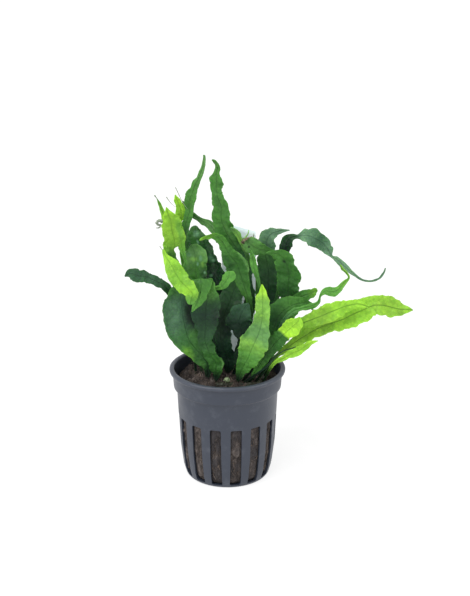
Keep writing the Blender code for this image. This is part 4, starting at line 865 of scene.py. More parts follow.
# Where the columns stand in a slot, from -1 to 1, and how many stand on a bar
SLOT_COLUMNS = np.array([-1, -0.9, -0.8, -0.69, -0.35, 0, 0.35, 0.69, 0.8, 0.9, 1])
BAR_COLUMNS = 5


def pot_lines(corner):
    """Rows of (radius, height) up the outside and over the lip, and down the inside to the floor's middle.

    With them come, for the wall's slots and for the vents, the first row outside, the first one inside and
    their number, which is the same on both so that they can be joined.
    """
    low, high = SLOT_LEVELS
    levels = np.concatenate([low + corner * np.array([0, 0.33, 0.67, 1]), np.linspace(low, high, 9)[1:-1],
                             high - corner * np.array([1, 0.67, 0.33, 0])])
    wall = np.concatenate([levels, UPPER_LEVELS])
    outer = np.stack([np.interp(wall, WALL_HEIGHTS, OUTER_RADII), wall], 1)
    inner = np.stack([np.interp(wall, WALL_HEIGHTS, INNER_RADII), wall], 1)
    underside = np.stack([FLOOR_RADII, np.zeros(len(FLOOR_RADII))], 1)
    rows = np.concatenate([underside, BASE, outer, COLLAR, inner[::-1], FILLET, underside[::-1] + (0, FLOOR)])
    before, after = len(FLOOR_RADII) + len(BASE), len(FILLET) + len(FLOOR_RADII)
    slot = (before, len(rows) - after - len(levels), len(levels))
    first, last = FLOOR_RADII.index(VENTS[0]), FLOOR_RADII.index(VENTS[1])
    vent = (first, len(rows) - 1 - last, last - first + 1)
    return rows, slot, vent


def pot_columns(rows, wide):
    """The angle of each point: columns crowd at the slots' corners and keep every slot the same width.

    A slot's half angle is the arcsine of its half width over the radius there, and the bars between
    share out the rest evenly.
    """
    in_bar = np.arange(1, BAR_COLUMNS + 1) / (BAR_COLUMNS + 1)
    pitch = 2 * np.pi / SLOTS
    radius = np.maximum(rows[:, 0], VENTS[0])
    half = np.arcsin(wide / 2 / np.maximum(radius, SLOT_FOOT_RADIUS))[:, None] * np.ones(SLOTS)
    on_floor = rows[:, :1] < FLOOR_EDGE
    vent_half = np.arcsin(VENT_WIDTH / 2 / radius)[:, None]
    half[:, ::VENT_EVERY] = np.where(on_floor, vent_half, half[:, ::VENT_EVERY])
    middle = np.radians(FIRST_SLOT) + pitch * np.arange(SLOTS)
    slots = middle[:, None] + half[:, :, None] * SLOT_COLUMNS
    free = pitch - half - np.roll(half, -1, 1)
    bars = (middle + half)[:, :, None] + free[:, :, None] * in_bar
    return np.concatenate([slots, bars], 2)


def make_pot_mesh(wide, corner):
    """The pot's skin: the lines turned round the axis with the slots and vents left open, then walled.

    At a slot's corner the rim's points are drawn in by the corner's radius, each way by 1 less the root of
    1 less half the square of the place along the other way.
    """
    rows, (wall_from, wall_back, wall_count), (vent_from, vent_back, vent_count) = pot_lines(corner)
    angles = pot_columns(rows, wide)
    slot_columns = len(SLOT_COLUMNS)
    height = rows[:, 1][:, None, None] * np.ones(angles.shape)
    radius = rows[:, 0][:, None, None] * np.ones(angles.shape)
    total = len(rows)
    low, high = SLOT_LEVELS

    share = np.abs(SLOT_COLUMNS)
    for start in (wall_from, wall_back):
        band = slice(start, start + wall_count)
        z = rows[band, 1][:, None]
        q = np.clip(np.maximum(z - (high - corner), (low + corner) - z) / corner, 0, 1)
        p = np.clip((share * wide / 2 - (wide / 2 - corner)) / corner, 0, 1)[None, :]
        rim = (share[None, :] > 0.999) | (q > 0.999)
        drop = corner * q * (1 - np.sqrt(1 - p**2 / 2)) * rim
        pull = corner * p * (1 - np.sqrt(1 - q**2 / 2)) * rim
        way = np.where(z > (low + high) / 2, -1.0, 1.0)
        height[band, :, :slot_columns] += (drop * way)[:, None, :]
        angles[band, :, :slot_columns] -= (pull / rows[band, 0][:, None] * np.sign(SLOT_COLUMNS))[:, None, :]

    points = np.stack([radius * np.sin(angles), -radius * np.cos(angles), height], -1)
    columns = SLOTS * angles.shape[2]
    points = points.reshape(total * columns, 3)
    row, column = np.meshgrid(np.arange(total - 1), np.arange(columns), indexing="ij")
    after = (column + 1) % columns
    quads = np.stack([row * columns + column, row * columns + after,
                      (row + 1) * columns + after, (row + 1) * columns + column], -1)
    place = column % angles.shape[2]
    number = column // angles.shape[2]
    open_column = place < slot_columns - 1
    in_wall = ((row >= wall_from) & (row < wall_from + wall_count - 1)
               | (row >= wall_back) & (row < wall_back + wall_count - 1))
    in_vent = ((row >= vent_from) & (row < vent_from + vent_count - 1)
               | (row >= vent_back) & (row < vent_back + vent_count - 1)) & (number % VENT_EVERY == 0)
    kept = quads[~(open_column & (in_wall | in_vent))]

    bridges = []
    for start, back, count, stride in ((wall_from, wall_back, wall_count, 1),
                                       (vent_from, vent_back, vent_count, VENT_EVERY)):
        out = start + np.arange(count)
        into = back + count - 1 - np.arange(count)
        for slot in range(0, SLOTS, stride):
            first = slot * angles.shape[2]
            span = first + np.arange(slot_columns)
            edges = [(out * columns + side, into * columns + side) for side in (span[0], span[-1])]
            edges += [(out[end] * columns + span, into[end] * columns + span) for end in (0, -1)]
            bridges += [np.stack([near[:-1], near[1:], far[1:], far[:-1]], -1) for near, far in edges]
    kept = np.concatenate([kept] + bridges)
    used, kept = np.unique(kept, return_inverse=True)
    kept = kept.reshape(-1, 4)
    ring = np.searchsorted(used, np.arange(columns))
    roof = np.searchsorted(used, (total - 1) * columns + np.arange(columns))
    points = np.concatenate([points[used], [(0, 0, 0), (0, 0, FLOOR)]])
    base = np.stack([np.roll(ring, -1), ring, np.full(columns, len(used))], -1)
    top = np.stack([roof, np.roll(roof, -1), np.full(columns, len(used) + 1)], -1)
    return points, kept.tolist() + base.tolist() + top.tolist()


class FERN_OT_pot(bpy.types.Operator):
    """Make the slotted pot with its rolled lip and moulded edges"""

    bl_idname = "fern.pot"
    bl_label = "Net pot"
    bl_options = {"UNDO"}

    def execute(self, context):
        settings = context.scene.fern_pot
        points, faces = make_pot_mesh(settings.slot_width / MM, settings.slot_corner / MM)
        pot = add_piece("pot_skin", points, faces, pot_plastic(settings), ("net_pot",))
        edges = pot.modifiers.new("moulded_edges", "BEVEL")
        edges.width = settings.bevel
        edges.segments = 2
        edges.limit_method = "ANGLE"
        edges.angle_limit = np.radians(40)
        edges.harden_normals = True
        return {"FINISHED"}


# The coir's level top, its rise at the wall, the radii where the rise starts and ends, and its mounds:
# middle, height, spread each way, and the power of the bell, where 4 makes a flatter top
COIR_TOP = 46.6
COIR_EDGE_RISE = 0.3
COIR_EDGE = (18.0, 24.6)
MOUNDS = (
    ((-17.6, 0.5), 4.6, (3.6, 6.0), 2),
    ((-12.5, -8.5), 4.2, (5.0, 4.5), 2),
    ((1.0, -1.0), 3.9, (17.5, 15.0), 4),
)

# The lumps of the coir: height, size and seed
COIR_LUMPS = ((0.9, 6.0, 11), (0.45, 2.2, 12), (0.2, 0.9, 13))

# The plug's wall: the heights of its ends, its gap to the pot, and the radius that the slots are set out on
PLUG_LEVELS = (1.6, 45.4)
PLUG_GAP = 0.35
PLUG_RADIUS = 22.0

# The heights between which the coir swells into the slots, and the radii of its top's first and last rings
SLOT_INSIDE = (2.0, 30.6)
PLUG_RINGS = (24.3, 0.3)

# Seeds of the plug's lumps and of the fibres on top and in the slots; each has two in a row
PLUG_SEED = 21
TOP_SEED = 31
SLOT_SEED = 41

# How far out the feet of the fibres on top lie, how far out fibres and roots may reach, and the share of the
# fibres in the slots that stand up
FIBRE_FEET = 23.4
FIBRE_REACH = 24.1
ROOT_REACH = 24.0
UPRIGHT_SHARE = 0.65

# The least and greatest lengths of the fibres on top, and of the upright and lying ones in the slots
FIBRE_LENGTHS = (2.5, 9.0)
UPRIGHT_LENGTHS = (2.5, 7.0)
LYING_LENGTHS = (1.5, 4.0)

# The hair roots: number, least and greatest length, radius and seed
ROOTS = 900
ROOT_LENGTHS = (3.0, 7.0)
ROOT_RADIUS = 0.09
ROOT_SEED = 61


def coir_height(x, y):
    """Height of the matted coir: level, a rise by the wall, bell-shaped mounds, of which the one at the crown
    is flat-topped, and ripples of three sizes that fade out at the wall."""
    reach = np.hypot(x, y)
    start, end = COIR_EDGE
    height = COIR_TOP + COIR_EDGE_RISE * np.maximum(0, (reach - start) / (end - start)) ** 2
    for middle, rise, spread, power in MOUNDS:
        off = ((x - middle[0]) / spread[0]) ** power + ((y - middle[1]) / spread[1]) ** power
        height = height + rise * np.exp(-off)
    at = np.stack([x, y], -1)
    lumps = sum(rise * ripple(at, size, seed) for rise, size, seed in COIR_LUMPS)
    return height + lumps * np.clip((end - reach) / 2.0, 0, 1)


def slot_share(turn, z, wide):
    """How far into a slot of the wall a place lies: 1 in its middle, 0 behind the bars."""
    pitch = 2 * np.pi / SLOTS
    off = np.abs((turn - np.radians(FIRST_SLOT) + pitch / 2) % pitch - pitch / 2)
    half = wide / 2 / PLUG_RADIUS
    inside = np.clip((half - off) / half * 2.0, 0, 1)
    low, high = SLOT_INSIDE
    return inside * np.clip((z - low) / 2.0, 0, 1) * np.clip((high - z) / 2.0, 0, 1)


def make_coir_mesh(wide, across=252, up=70, rings=64):
    """A closed plug: rings up the wall, swollen into the slots with ripples, and in over the uneven top."""
    turn = np.linspace(0, 2 * np.pi, across, endpoint=False)
    z = np.linspace(*PLUG_LEVELS, up)[:, None] * np.ones(across)
    radius = np.interp(z, WALL_HEIGHTS, INNER_RADII) - PLUG_GAP
    place = np.stack([np.cos(turn) * radius, np.sin(turn) * radius, z * 0.6], -1)
    open_wall = slot_share(turn, z, wide)
    lumps = 0.5 * ripple(place, 3.0, PLUG_SEED) + 0.25 * ripple(place, 1.0, PLUG_SEED + 1)
    radius = radius + open_wall * (PLUG_GAP + lumps)
    side = np.stack([radius * np.sin(turn), -radius * np.cos(turn), z], -1)
    reach = np.linspace(*PLUG_RINGS, rings)[:, None] * np.ones(across)
    x, y = reach * np.sin(turn), -reach * np.cos(turn)
    top = np.stack([x, y, coir_height(x, y)], -1)
    return joined_rings(np.concatenate([side, top])[None])


def loose_fibres(feet, ways, lengths, lift, radius, seed, steps=7):
    """Curved threads: each runs its own way through its foot, bowed up and aside by a cosine, kinked by a
    faster sine, and thinner towards both ends as a cosine."""
    draw = np.random.default_rng(seed)
    t = np.linspace(-0.5, 0.5, steps)[None, :, None]
    each = (len(feet), 1, 1)
    bow = np.cos(t * np.pi) * lift[:, None, None] * np.array([0.0, 0.0, 1.0])
    sideways = unit(np.cross(ways, draw.normal(size=ways.shape)))[:, None, :]
    long = lengths[:, None, None]
    sway = sideways * (np.cos(t * np.pi) * draw.normal(scale=0.16, size=each) * long)
    kink = sideways * np.sin(t * 9.0 + draw.uniform(0, 6, each)) * long * 0.04
    paths = feet[:, None, :] + ways[:, None, :] * t * long + bow + sway + kink
    taper = radius * draw.uniform(0.6, 1.5, (len(feet), 1)) * np.ones(steps) * np.cos(t[..., 0] * 2.2)
    return paths, taper


def kept_inside(paths, radius):
    """Draw points that stand past a radius in to it."""
    far = np.hypot(paths[..., 0], paths[..., 1])
    paths[..., :2] *= np.minimum(1.0, radius / np.maximum(far, 0.1))[..., None]


def top_fibre_paths(count, radius):
    """Threads strewn over the coir, kept inside the wall and laid on the height under every point."""
    draw = np.random.default_rng(TOP_SEED)
    reach = FIBRE_FEET * np.sqrt(draw.uniform(0, 1, count))
    turn = draw.uniform(0, 2 * np.pi, count)
    heading = draw.uniform(0, 2 * np.pi, count)
    ways = np.stack([np.cos(heading), np.sin(heading), draw.normal(scale=0.15, size=count)], -1)
    feet = np.stack([reach * np.cos(turn), reach * np.sin(turn), np.zeros(count)], -1)
    lengths = draw.uniform(*FIBRE_LENGTHS, count)
    lift = draw.uniform(0.1, 1.1, count)
    paths, taper = loose_fibres(feet, unit(ways), lengths, lift, radius, TOP_SEED + 1)
    kept_inside(paths, FIBRE_REACH)
    paths[..., 2] += coir_height(paths[..., 0], paths[..., 1]) - 0.1
    return paths, taper


def side_fibre_paths(count, radius, wide):
    """Threads lying round the plug where the slots show it.

    They are laid out flat, and the distance across is then wound round PLUG_RADIUS.
    """
    draw = np.random.default_rng(SLOT_SEED)
    pitch = 2 * np.pi / SLOTS
    slot = draw.integers(0, SLOTS, count)
    turn = np.radians(FIRST_SLOT) + slot * pitch + draw.uniform(-0.75, 0.75, count) * wide / 2 / PLUG_RADIUS
    z = draw.uniform(3.5, 29.0, count)
    slope = draw.normal(scale=0.5, size=count)
    upright = draw.uniform(0, 1, count) < UPRIGHT_SHARE
    rise = np.where(upright, np.cos(slope), np.sin(slope))
    round_it = np.where(upright, np.sin(slope), np.cos(slope))
    feet = np.stack([turn * PLUG_RADIUS, np.zeros(count), z], -1)
    ways = unit(np.stack([round_it, np.zeros(count), rise], -1))
    lengths = np.where(upright, draw.uniform(*UPRIGHT_LENGTHS, count), draw.uniform(*LYING_LENGTHS, count))
    paths, taper = loose_fibres(feet, ways, lengths, np.zeros(count), radius, SLOT_SEED + 1)
    turn, z = paths[..., 0] / PLUG_RADIUS, np.clip(paths[..., 2], 2.2, 30.4)
    out = draw.uniform(-0.15, 0.55, (count, 1)) + np.clip(paths[..., 1], -0.3, 0.3)
    reach = np.interp(z, WALL_HEIGHTS, INNER_RADII) - 0.25 + slot_share(turn, z, wide) * out
    return np.stack([reach * np.sin(turn), -reach * np.cos(turn), z], -1), taper


class FERN_OT_coir(bpy.types.Operator):
    """Fill the pot with matted coir and loose fibres"""

    bl_idname = "fern.coir"
    bl_label = "Coir"
    bl_options = {"UNDO"}

    def execute(self, context):
        settings = context.scene.fern_coir
        wide = context.scene.fern_pot.slot_width / MM
        radius = settings.fibre_radius / MM
        points, faces = make_coir_mesh(wide)
        add_piece("coir_plug", points, faces, coir_matter(settings), ("growing_medium",))
        fibre = fibre_matter(settings)
        paths, radii = top_fibre_paths(settings.top_fibres, radius)
        add_tubes("coir_fibres_top", paths, radii, 3, fibre, "coir")
        paths, radii = side_fibre_paths(settings.side_fibres, radius, wide)
        add_tubes("coir_fibres_slots", paths, radii, 3, fibre, "coir")
        return {"FINISHED"}


def rhizome_rings(bends, seed, around=20):
    """A creeping stem: a circle carried along the bends, rounded off at its ends as the root of the way to
    them, and swollen and shrunk by ripples of two sizes."""
    rows = [(x, y, RHIZOME_HEIGHT) for x, y in bends]
    line, length = smooth_line(rows, 0.3)
    ends = np.clip(np.minimum(length, length[-1] - length) / RHIZOME_RADIUS, 0.02, 1) ** 0.5
    rings = tube_rings(line[None], (RHIZOME_RADIUS * ends)[None], around)
    middle = line[None, :, None, :]
    (knobs, knob_size), (scars, scar_size) = RHIZOME_KNOBS
    swell = 1 + knobs * ripple(rings, knob_size, seed) + scars * ripple(rings, scar_size, seed + 1)
    return middle + (rings - middle) * swell[..., None]


def root_paths(count, seed):
    """Short wiry roots: each leaves a rhizome at a drawn place and heads down and out to the coir."""
    draw = np.random.default_rng(seed)
    lines = [smooth_line([(x, y, RHIZOME_HEIGHT) for x, y in bends], 0.4)[0] for bends in RHIZOMES.values()]
    line = np.concatenate(lines)
    feet = line[draw.integers(0, len(line), count)]
    heading = draw.uniform(0, 2 * np.pi, count)
    ways = unit(np.stack([np.cos(heading), np.sin(heading), draw.normal(0.1, 0.5, count)], -1))
    lengths = draw.uniform(*ROOT_LENGTHS, count)
    paths, taper = loose_fibres(feet, ways, lengths, draw.uniform(0.2, 1.2, count), ROOT_RADIUS, seed + 1)
    kept_inside(paths, ROOT_REACH)
    return paths, taper


class FERN_OT_rhizomes(bpy.types.Operator):
    """Lay the creeping stems on the coir, with their wiry roots"""

    bl_idname = "fern.rhizomes"
    bl_label = "Rhizomes"
    bl_options = {"UNDO"}

    def execute(self, context):
        bark = stem_skin("rhizome_skin", "#1c2016", "#39402a", 420.0, 0.6)
        for number, (name, bends) in enumerate(RHIZOMES.items()):
            points, faces = joined_rings(rhizome_rings(bends, RHIZOME_SEED + 2 * number))
            add_piece(f"creeping_stem_{name}", points, faces, bark, (f"rhizome_{name}",))
        roots = stem_skin("root_skin", "#17110d", "#4a3828", 900.0, 0.85)
        add_tubes("wiry_roots", *root_paths(ROOTS, ROOT_SEED), 3, roots, "rhizome")
        return {"FINISHED"}


# The powers of the label's section, where its top edge starts to be drawn in (share of the height) and by
# how much (share of the thickness), its foot and the two ends of its slanting top
LABEL_POWERS = (0.16, 0.3)
LABEL_EDGE = 0.995
LABEL_DRAWN = 0.9
LABEL_FOOT = 40.0
LABEL_TOP_LEFT = 121.0
LABEL_TOP_RIGHT = 116.5


def label_rings(around=48, rows=40):
    """A flat card: a rounded oblong section carried up, its top cut at a slant, its top edge drawn in.

    The section is a superellipse; its small powers make the corners tight.
    """
    low, high = LABEL_LOW / MM, LABEL_HIGH / MM
    turn = np.linspace(0, 2 * np.pi, around, endpoint=False)
    wide, thick = (high.x - low.x) / 2, (high.y - low.y) / 2
    across = np.sign(np.cos(turn)) * np.abs(np.cos(turn)) ** LABEL_POWERS[0]
    through = np.sign(np.sin(turn)) * np.abs(np.sin(turn)) ** LABEL_POWERS[1]
    t = np.linspace(0, 1, rows)[:, None]
    drawn = 1 - LABEL_DRAWN * np.clip((t - LABEL_EDGE) / (1 - LABEL_EDGE), 0, 1) ** 2
    top = LABEL_TOP_LEFT + (LABEL_TOP_RIGHT - LABEL_TOP_LEFT) * (across + 1) / 2
    x = (low.x + high.x) / 2 + wide * across * (1 - 0.01 * (1 - drawn))
    y = (low.y + high.y) / 2 + thick * through * drawn
    z = LABEL_FOOT + (top - LABEL_FOOT) * t
    return np.stack([x * np.ones_like(t), y * np.ones_like(t), z], -1)[None]


class FERN_OT_label(bpy.types.Operator):
    """Stand the plain card label in the coir behind the fronds"""

    bl_idname = "fern.label"
    bl_label = "Plain label"
    bl_options = {"UNDO"}

    def execute(self, context):
        points, faces = joined_rings(label_rings())
        add_piece("label_plate", points, faces, label_card(), ("plant_label",))
        return {"FINISHED"}


def foot_on(rhizome, along, aside):
    """The point on top of the rhizome at this place along it."""
    back = float(np.interp(along, *np.array(RHIZOMES[rhizome]).T)) + aside
    return along, back, RHIZOME_HEIGHT + RHIZOME_RADIUS + FOOT_LIFT


def arching_rows(foot, lean, reach, rise, widest, droop):
    """Rows of a frond that sweeps out as its share of the way to the power 1.5, and up as a sine whose top
    comes sooner the more the frond droops."""
    share, wide = np.array(BACK_OUTLINE).T
    out = reach * share**1.5
    up = rise * np.sin(share * np.pi * (0.5 + 0.22 * droop))
    x = foot[0] + np.sin(np.radians(lean)) * out
    y = foot[1] + np.cos(np.radians(lean)) * out
    return np.stack([x, y, foot[2] + up, widest * wide], 1).tolist()


def carried_sides(centres):
    """The blade's side and back at each step: square to the sight at the foot, carried on without twisting.

    The slip from one step's sight frame to the next is summed and turned back out.
    """
    along = unit(np.gradient(centres, axis=0))
    side = unit(np.cross(along, SIGHT))
    back = np.cross(side, along)
    slip = np.arctan2((side[:-1] * back[1:]).sum(1), (side[:-1] * side[1:]).sum(1))
    turn = np.concatenate([[0.0], np.cumsum(slip)])[:, None]
    return along, side * np.cos(turn) + back * np.sin(turn), back * np.cos(turn) - side * np.sin(turn)


# The ragged margins: length and depth of their bays and teeth. Then the lengths of their waves and flutter
BAYS = (4.5, 0.28)
TEETH = (1.6, 0.09)
WAVE_LENGTH = 13.0
FLUTTER_LENGTH = 3.2

# Seeds of the fronds' ripples; each frond draws on nine in a row
FRONT_SEED = 100
SLIP_SEED = 430
BACK_SEED = 600
SEED_STEP = 10

# The least width of a blade, the width from which its margins are fully ragged, the widths between which
# its blisters rise, and the width from which it is thick along its midrib alone
LEAST_WIDTH = 0.25
RAGGED_WIDTH = 6
BLISTER_WIDTHS = (1.5, 5.5)
MIDRIB_WIDTH = 2.5

# The thickness of a blade and of its tip, and of a narrow blade as a share of its width
BLADE_THICKNESS = 0.75
TIP_THICKNESS = 0.25
THICKNESS_SHARE = 0.8


def blade_rings(rows, turn_foot, turn_tip, fold, detail, seed, settings):
    """The rings of one frond, and its two maps.

    The line through the rows is carried straight on below its foot by ROOT_DEPTH. A ring is a flattened oval
    across it: u runs from the left margin, 1, to the right one, -1, and back behind. The half widths have
    ripples as bays and teeth, and are cut back by a bell at each notch. Each place is moved off the blade's
    plane by the fold, the margins' waves and flutter, the blisters between the veins, and ripples.
    """
    line, length = smooth_line(rows, settings.step / MM)
    sunk = np.linspace(ROOT_DEPTH, 0, 4)[:-1, None]
    root = np.hstack([line[0, :3] - unit(line[1, :3] - line[0, :3]) * sunk, line[:1, 3:] + 0 * sunk])
    line, length = np.vstack([root, line]), np.concatenate([ROOT_DEPTH - sunk[:, 0], ROOT_DEPTH + length])
    centres, wide = line[:, :3], np.maximum(line[:, 3], LEAST_WIDTH)
    along, side, back = carried_sides(centres)
    share = np.clip((length - ROOT_DEPTH) / (length[-1] - ROOT_DEPTH), 0, 1)
    turn = np.radians(turn_foot + (turn_tip - turn_foot) * share)[:, None]
    across = side * np.cos(turn) + back * np.sin(turn)
    facing = np.cross(across, along)

    phi = np.linspace(0, 2 * np.pi, settings.around, endpoint=False)
    u = np.sign(np.cos(phi)) * np.abs(np.cos(phi)) ** 0.85
    span = np.abs(u)
    left = u > 0
    on = length[:, None]
    ragged = detail["ragged"] * np.clip(wide / RAGGED_WIDTH, 0, 1)[:, None]
    bays = np.stack([ripple(on, BAYS[0], seed), ripple(on, BAYS[0], seed + 1)], 1)
    teeth = np.stack([ripple(on, TEETH[0], seed + 2), ripple(on, TEETH[0], seed + 3)], 1)
    halves = (wide / 2)[:, None] + ragged * (BAYS[1] * bays + TEETH[1] * teeth)
    for at, which, depth, size in detail["notches"]:
        cut = depth * np.exp(-((length - at * length[-1]) / size) ** 2)
        halves[:, 0 if which > 0 else 1] *= 1 - cut
    half = np.where(left, halves[:, :1], halves[:, 1:])
    x = u * half

    none, full = BLISTER_WIDTHS
    swell = np.clip((wide - none) / (full - none), 0, 1)[:, None]
    phase = 2 * np.pi * on / WAVE_LENGTH
    wave = detail.get("wave", settings.wave)
    margins = np.where(left, np.sin(phase), np.sin(phase * 1.2 + 2.0))
    flutter = np.where(left, ripple(on, FLUTTER_LENGTH, seed + 4)[:, None],
                       ripple(on, FLUTTER_LENGTH, seed + 5)[:, None])
    lift = -fold * half * (np.sqrt(span**2 + 0.01) - 0.1)
    lift = lift + wave * wide[:, None] * (margins * span**1.5 + 0.5 * flutter * span**3)
    spot = np.stack([on * np.ones_like(x), x], -1)
    climb = (on - np.abs(x) * VEIN_SLANT) / VEIN_SPACING + 0.25 * ripple(spot, 4.0, seed + 6)
    uneven = 0.65 + 0.35 * np.sin(np.abs(x) * 2.6 + ripple(spot, 5.0, seed + 7))
    pillows = 0.5 * np.sin(np.pi * climb) ** 2 * uneven
    taper = (4 * span * (1 - span) + 0.02) ** 0.6
    blister = detail["blister"] * settings.blister / MM
    lift = lift - swell * taper * (blister * pillows + 0.6 * blister * ripple(spot, 4.5, seed + 8))

    thick = np.clip(wide * THICKNESS_SHARE, TIP_THICKNESS, BLADE_THICKNESS)[:, None]
    stout = np.where(wide[:, None] > MIDRIB_WIDTH, 0.4 + 0.6 * np.exp(-(x / 0.6) ** 2), 1.0)
    body = thick / 2 * stout * np.sqrt(np.maximum(1 - span**4, 0)) * np.sign(np.sin(phi))
    rings = centres[:, None] + across[:, None] * x[..., None] + facing[:, None] * (lift + body)[..., None]
    blade = np.stack([share[:, None] * np.ones_like(x), (u + 1) / 2 * np.ones_like(x)], -1)
    flat = spot / 10
    return rings, blade, flat


def add_frond(name, rows, turn_foot, turn_tip, fold, settings, seed):
    """One frond in its own skin, in the place of its solid where it has one."""
    detail = {**DETAIL_DEFAULTS, **DETAILS.get(name, {})}
    rings, blade, flat = blade_rings(rows, turn_foot, turn_tip, fold, detail, seed, settings)
    points, faces = joined_rings(rings[None])
    maps = {label: np.concatenate([pairs.reshape(-1, 2), pairs[0].mean(0)[None], pairs[-1].mean(0)[None]])
            for label, pairs in (("blade", blade), ("flat", flat))}
    length = flat[-1, 0, 0]
    patches = [(at * length, beside * np.abs(flat[int(at * (len(flat) - 1)), :, 1]).max(),
                (tall / 10, wide / 10), green, strength)
               for at, beside, tall, wide, green, strength in detail["patches"]]
    skin = leaf_skin(f"skin_{name}", COLOURS.get(name, COLOURS["back"]), patches, detail, settings)
    solid = f"frond_{name}"
    replaced = (solid,) if solid in SKIN_SLOTS else ()
    add_piece(f"leaf_{name}", points, faces, skin, replaced, maps)


class FERN_OT_front_fronds(bpy.types.Operator):
    """Grow the fronds that stand up and arch to the front and sides"""

    bl_idname = "fern.front_fronds"
    bl_label = "Front fronds"
    bl_options = {"UNDO"}

    def execute(self, context):
        settings = context.scene.fern_fronds
        for number, (name, row) in enumerate(FRONDS.items()):
            rhizome, along, aside, turn_foot, turn_tip, fold, rows = row
            rows = [(*foot_on(rhizome, along, aside), STALK_WIDTH)] + rows
            add_frond(name, rows, turn_foot, turn_tip, fold, settings, FRONT_SEED + SEED_STEP * number)
        add_frond("yellow_slip", SLIP, *FRONDS["yellow_left"][3:6], settings, SLIP_SEED)
        return {"FINISHED"}


class FERN_OT_back_fronds(bpy.types.Operator):
    """Grow the fronds that arch away at the back"""

    bl_idname = "fern.back_fronds"
    bl_label = "Back fronds"
    bl_options = {"UNDO"}

    def execute(self, context):
        settings = context.scene.fern_fronds
        for number, (name, (along, lean, reach, rise, widest, droop)) in enumerate(BACK_FRONDS.items()):
            foot = foot_on("back", along, 0.0)
            rows = [(*foot, BACK_STALK_WIDTH)] + arching_rows(foot, lean, reach, rise, widest, droop)
            twist = lean * BACK_TWIST
            add_frond(name, rows, twist, twist, BACK_FOLD, settings, BACK_SEED + SEED_STEP * number)
        return {"FINISHED"}


class FERN_OT_threads(bpy.types.Operator):
    """Add the dried threads, the small curled bits and the new bud at the crown

    A thread thins evenly to its tip; the bud's radius swells and shrinks as a sine; ripples knobble both
    """

    bl_idname = "fern.threads"
    bl_label = "Threads and bud"
    bl_options = {"UNDO"}

    def execute(self, context):
        skins = {name: stem_skin(name, low, high, 900.0, rough)
                 for name, (low, high, rough) in THREAD_SKINS.items()}
        fresh = stem_skin("new_bud", "#43593a", "#8f9f78", 900.0, 0.6)
        for number, (skin, radius, bends) in enumerate(THREADS):
            line, length = smooth_line(bends, 0.25)
            radii = radius * (1 - 0.7 * length / length[-1])
            radii *= 1 + 0.2 * ripple(length[:, None], 0.8, THREAD_SEED + number)
            add_tubes(f"{skin}_{number + 1}", line[None], radii[None], 8, skins[skin], "frond_deep")
        line, length = smooth_line(BUD, 0.15)
        radii = 0.2 + 0.8 * np.sin(np.pi * length / length[-1]) ** 0.8
        radii *= 1 + 0.25 * ripple(line, 1.0, BUD_SEED)
        add_tubes("new_bud", line[None], radii[None], 20, fresh, "frond_light")
        return {"FINISHED"}


# The places of the lamps and what they are turned to, and the fill lamps' size, in metres
WINDOW_PLACE = (-0.4, -0.45, 1.0)
FILL_LAMPS = {"left_lamp": (-0.5, -0.35, 0.3), "right_lamp": (0.5, -0.2, 0.35)}
LIT_PLACE = (0, 0, 0.08)
LAMP_SIZE = 0.25

# The floor is flat round the pot and rises towards its far edges, in metres
GROUND_FLAT = 2.0
GROUND_REACH = 6.0
GROUND_RISE = 1.0


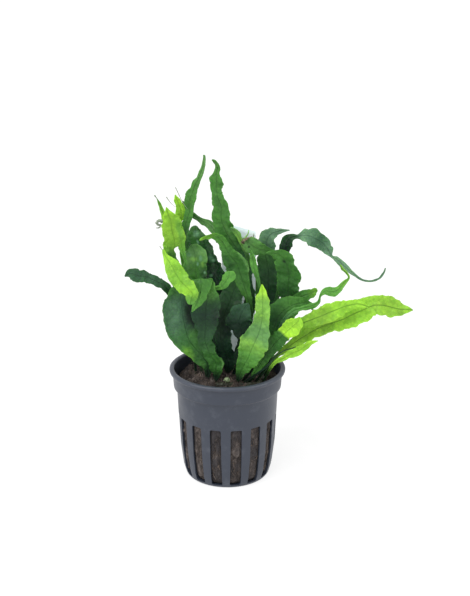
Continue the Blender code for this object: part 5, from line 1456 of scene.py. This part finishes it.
class FERN_OT_stage(bpy.types.Operator):
    """Set the camera, the soft lamps, the white surroundings and the pale floor"""

    bl_idname = "fern.stage"
    bl_label = "Stage"
    bl_options = {"UNDO"}

    def execute(self, context):
        settings = context.scene.fern_stage
        scene = context.scene
        view = bpy.data.cameras.new("camera")
        view.lens = settings.lens
        view.sensor_width = 36.0
        camera = bpy.data.objects.new("camera", view)
        camera.location = CAMERA_PLACE
        camera.rotation_euler = (np.radians(90) - settings.tilt, 0.0, 0.0)
        scene.collection.objects.link(camera)
        scene.camera = camera
        window = bpy.data.lights.new("window_light", "SUN")
        window.energy = settings.sun
        window.angle = np.radians(45)
        lamps = [(window, WINDOW_PLACE)]
        for name, place in FILL_LAMPS.items():
            lamp = bpy.data.lights.new(name, "AREA")
            lamp.shape = "DISK"
            lamp.size = LAMP_SIZE
            lamp.energy = settings.fill
            lamps.append((lamp, place))
        for lamp, place in lamps:
            stand = bpy.data.objects.new(lamp.name, lamp)
            stand.location = place
            stand.rotation_euler = (Vector(LIT_PLACE) - Vector(place)).to_track_quat("-Z", "Y").to_euler()
            scene.collection.objects.link(stand)
        world = bpy.data.worlds.new("white_room")
        world.use_nodes = True
        tree = world.node_tree
        fill(tree, tree.nodes["Background"].inputs, {"Color": (1.0, 1.0, 1.0, 1.0), "Strength": settings.sky})
        scene.world = world
        scene.view_settings.view_transform = "Standard"
        corners = ((-1, -1), (1, -1), (1, 1), (-1, 1))
        points = [(x * GROUND_FLAT, y * GROUND_FLAT, 0) for x, y in corners]
        points += [(x * GROUND_REACH, y * GROUND_REACH, GROUND_RISE) for x, y in corners]
        grid = bpy.data.meshes.new("floor")
        slopes = [(4 + n, 4 + (n + 1) % 4, (n + 1) % 4, n) for n in range(4)]
        grid.from_pydata(points, [], [(0, 1, 2, 3)] + slopes)
        grid.materials.append(floor_paper())
        floor = bpy.data.objects.new("floor", grid)
        scene.collection.objects.link(floor)
        return {"FINISHED"}


class FERN_PT_panel(bpy.types.Panel):
    """Sidebar panel with the fern's sizes, colours and steps"""

    bl_label = "Potted fern"
    bl_idname = "FERN_PT_panel"
    bl_space_type = "VIEW_3D"
    bl_region_type = "UI"
    bl_category = "Fern"

    def draw(self, context):
        for group in SETTINGS:
            settings = getattr(context.scene, group)
            box = self.layout.box()
            for prop in settings.bl_rna.properties:
                if prop.identifier not in {"rna_type", "name"}:
                    box.prop(settings, prop.identifier)
        for operator in OPERATORS:
            self.layout.operator(operator.bl_idname)


SETTINGS = {"fern_pot": FernPot, "fern_coir": FernCoir, "fern_fronds": FernFronds, "fern_stage": FernStage}
OPERATORS = (FERN_OT_stage, FERN_OT_pot, FERN_OT_coir, FERN_OT_rhizomes, FERN_OT_label, FERN_OT_front_fronds,
             FERN_OT_back_fronds, FERN_OT_threads)


def register():
    """Tell Blender of the classes, and hang the settings on its scenes."""
    for group in (*SETTINGS.values(), *OPERATORS, FERN_PT_panel):
        bpy.utils.register_class(group)
    for name, group in SETTINGS.items():
        setattr(bpy.types.Scene, name, PointerProperty(type=group))


def unregister():
    """Take back what register did."""
    for name in SETTINGS:
        delattr(bpy.types.Scene, name)
    for group in reversed((*SETTINGS.values(), *OPERATORS, FERN_PT_panel)):
        bpy.utils.unregister_class(group)


def main():
    """Make the stage and every piece."""
    register()
    bpy.ops.fern.stage()
    bpy.ops.fern.pot()
    bpy.ops.fern.coir()
    bpy.ops.fern.rhizomes()
    bpy.ops.fern.label()
    bpy.ops.fern.front_fronds()
    bpy.ops.fern.back_fronds()
    bpy.ops.fern.threads()


if __name__ == "__main__":
    main()
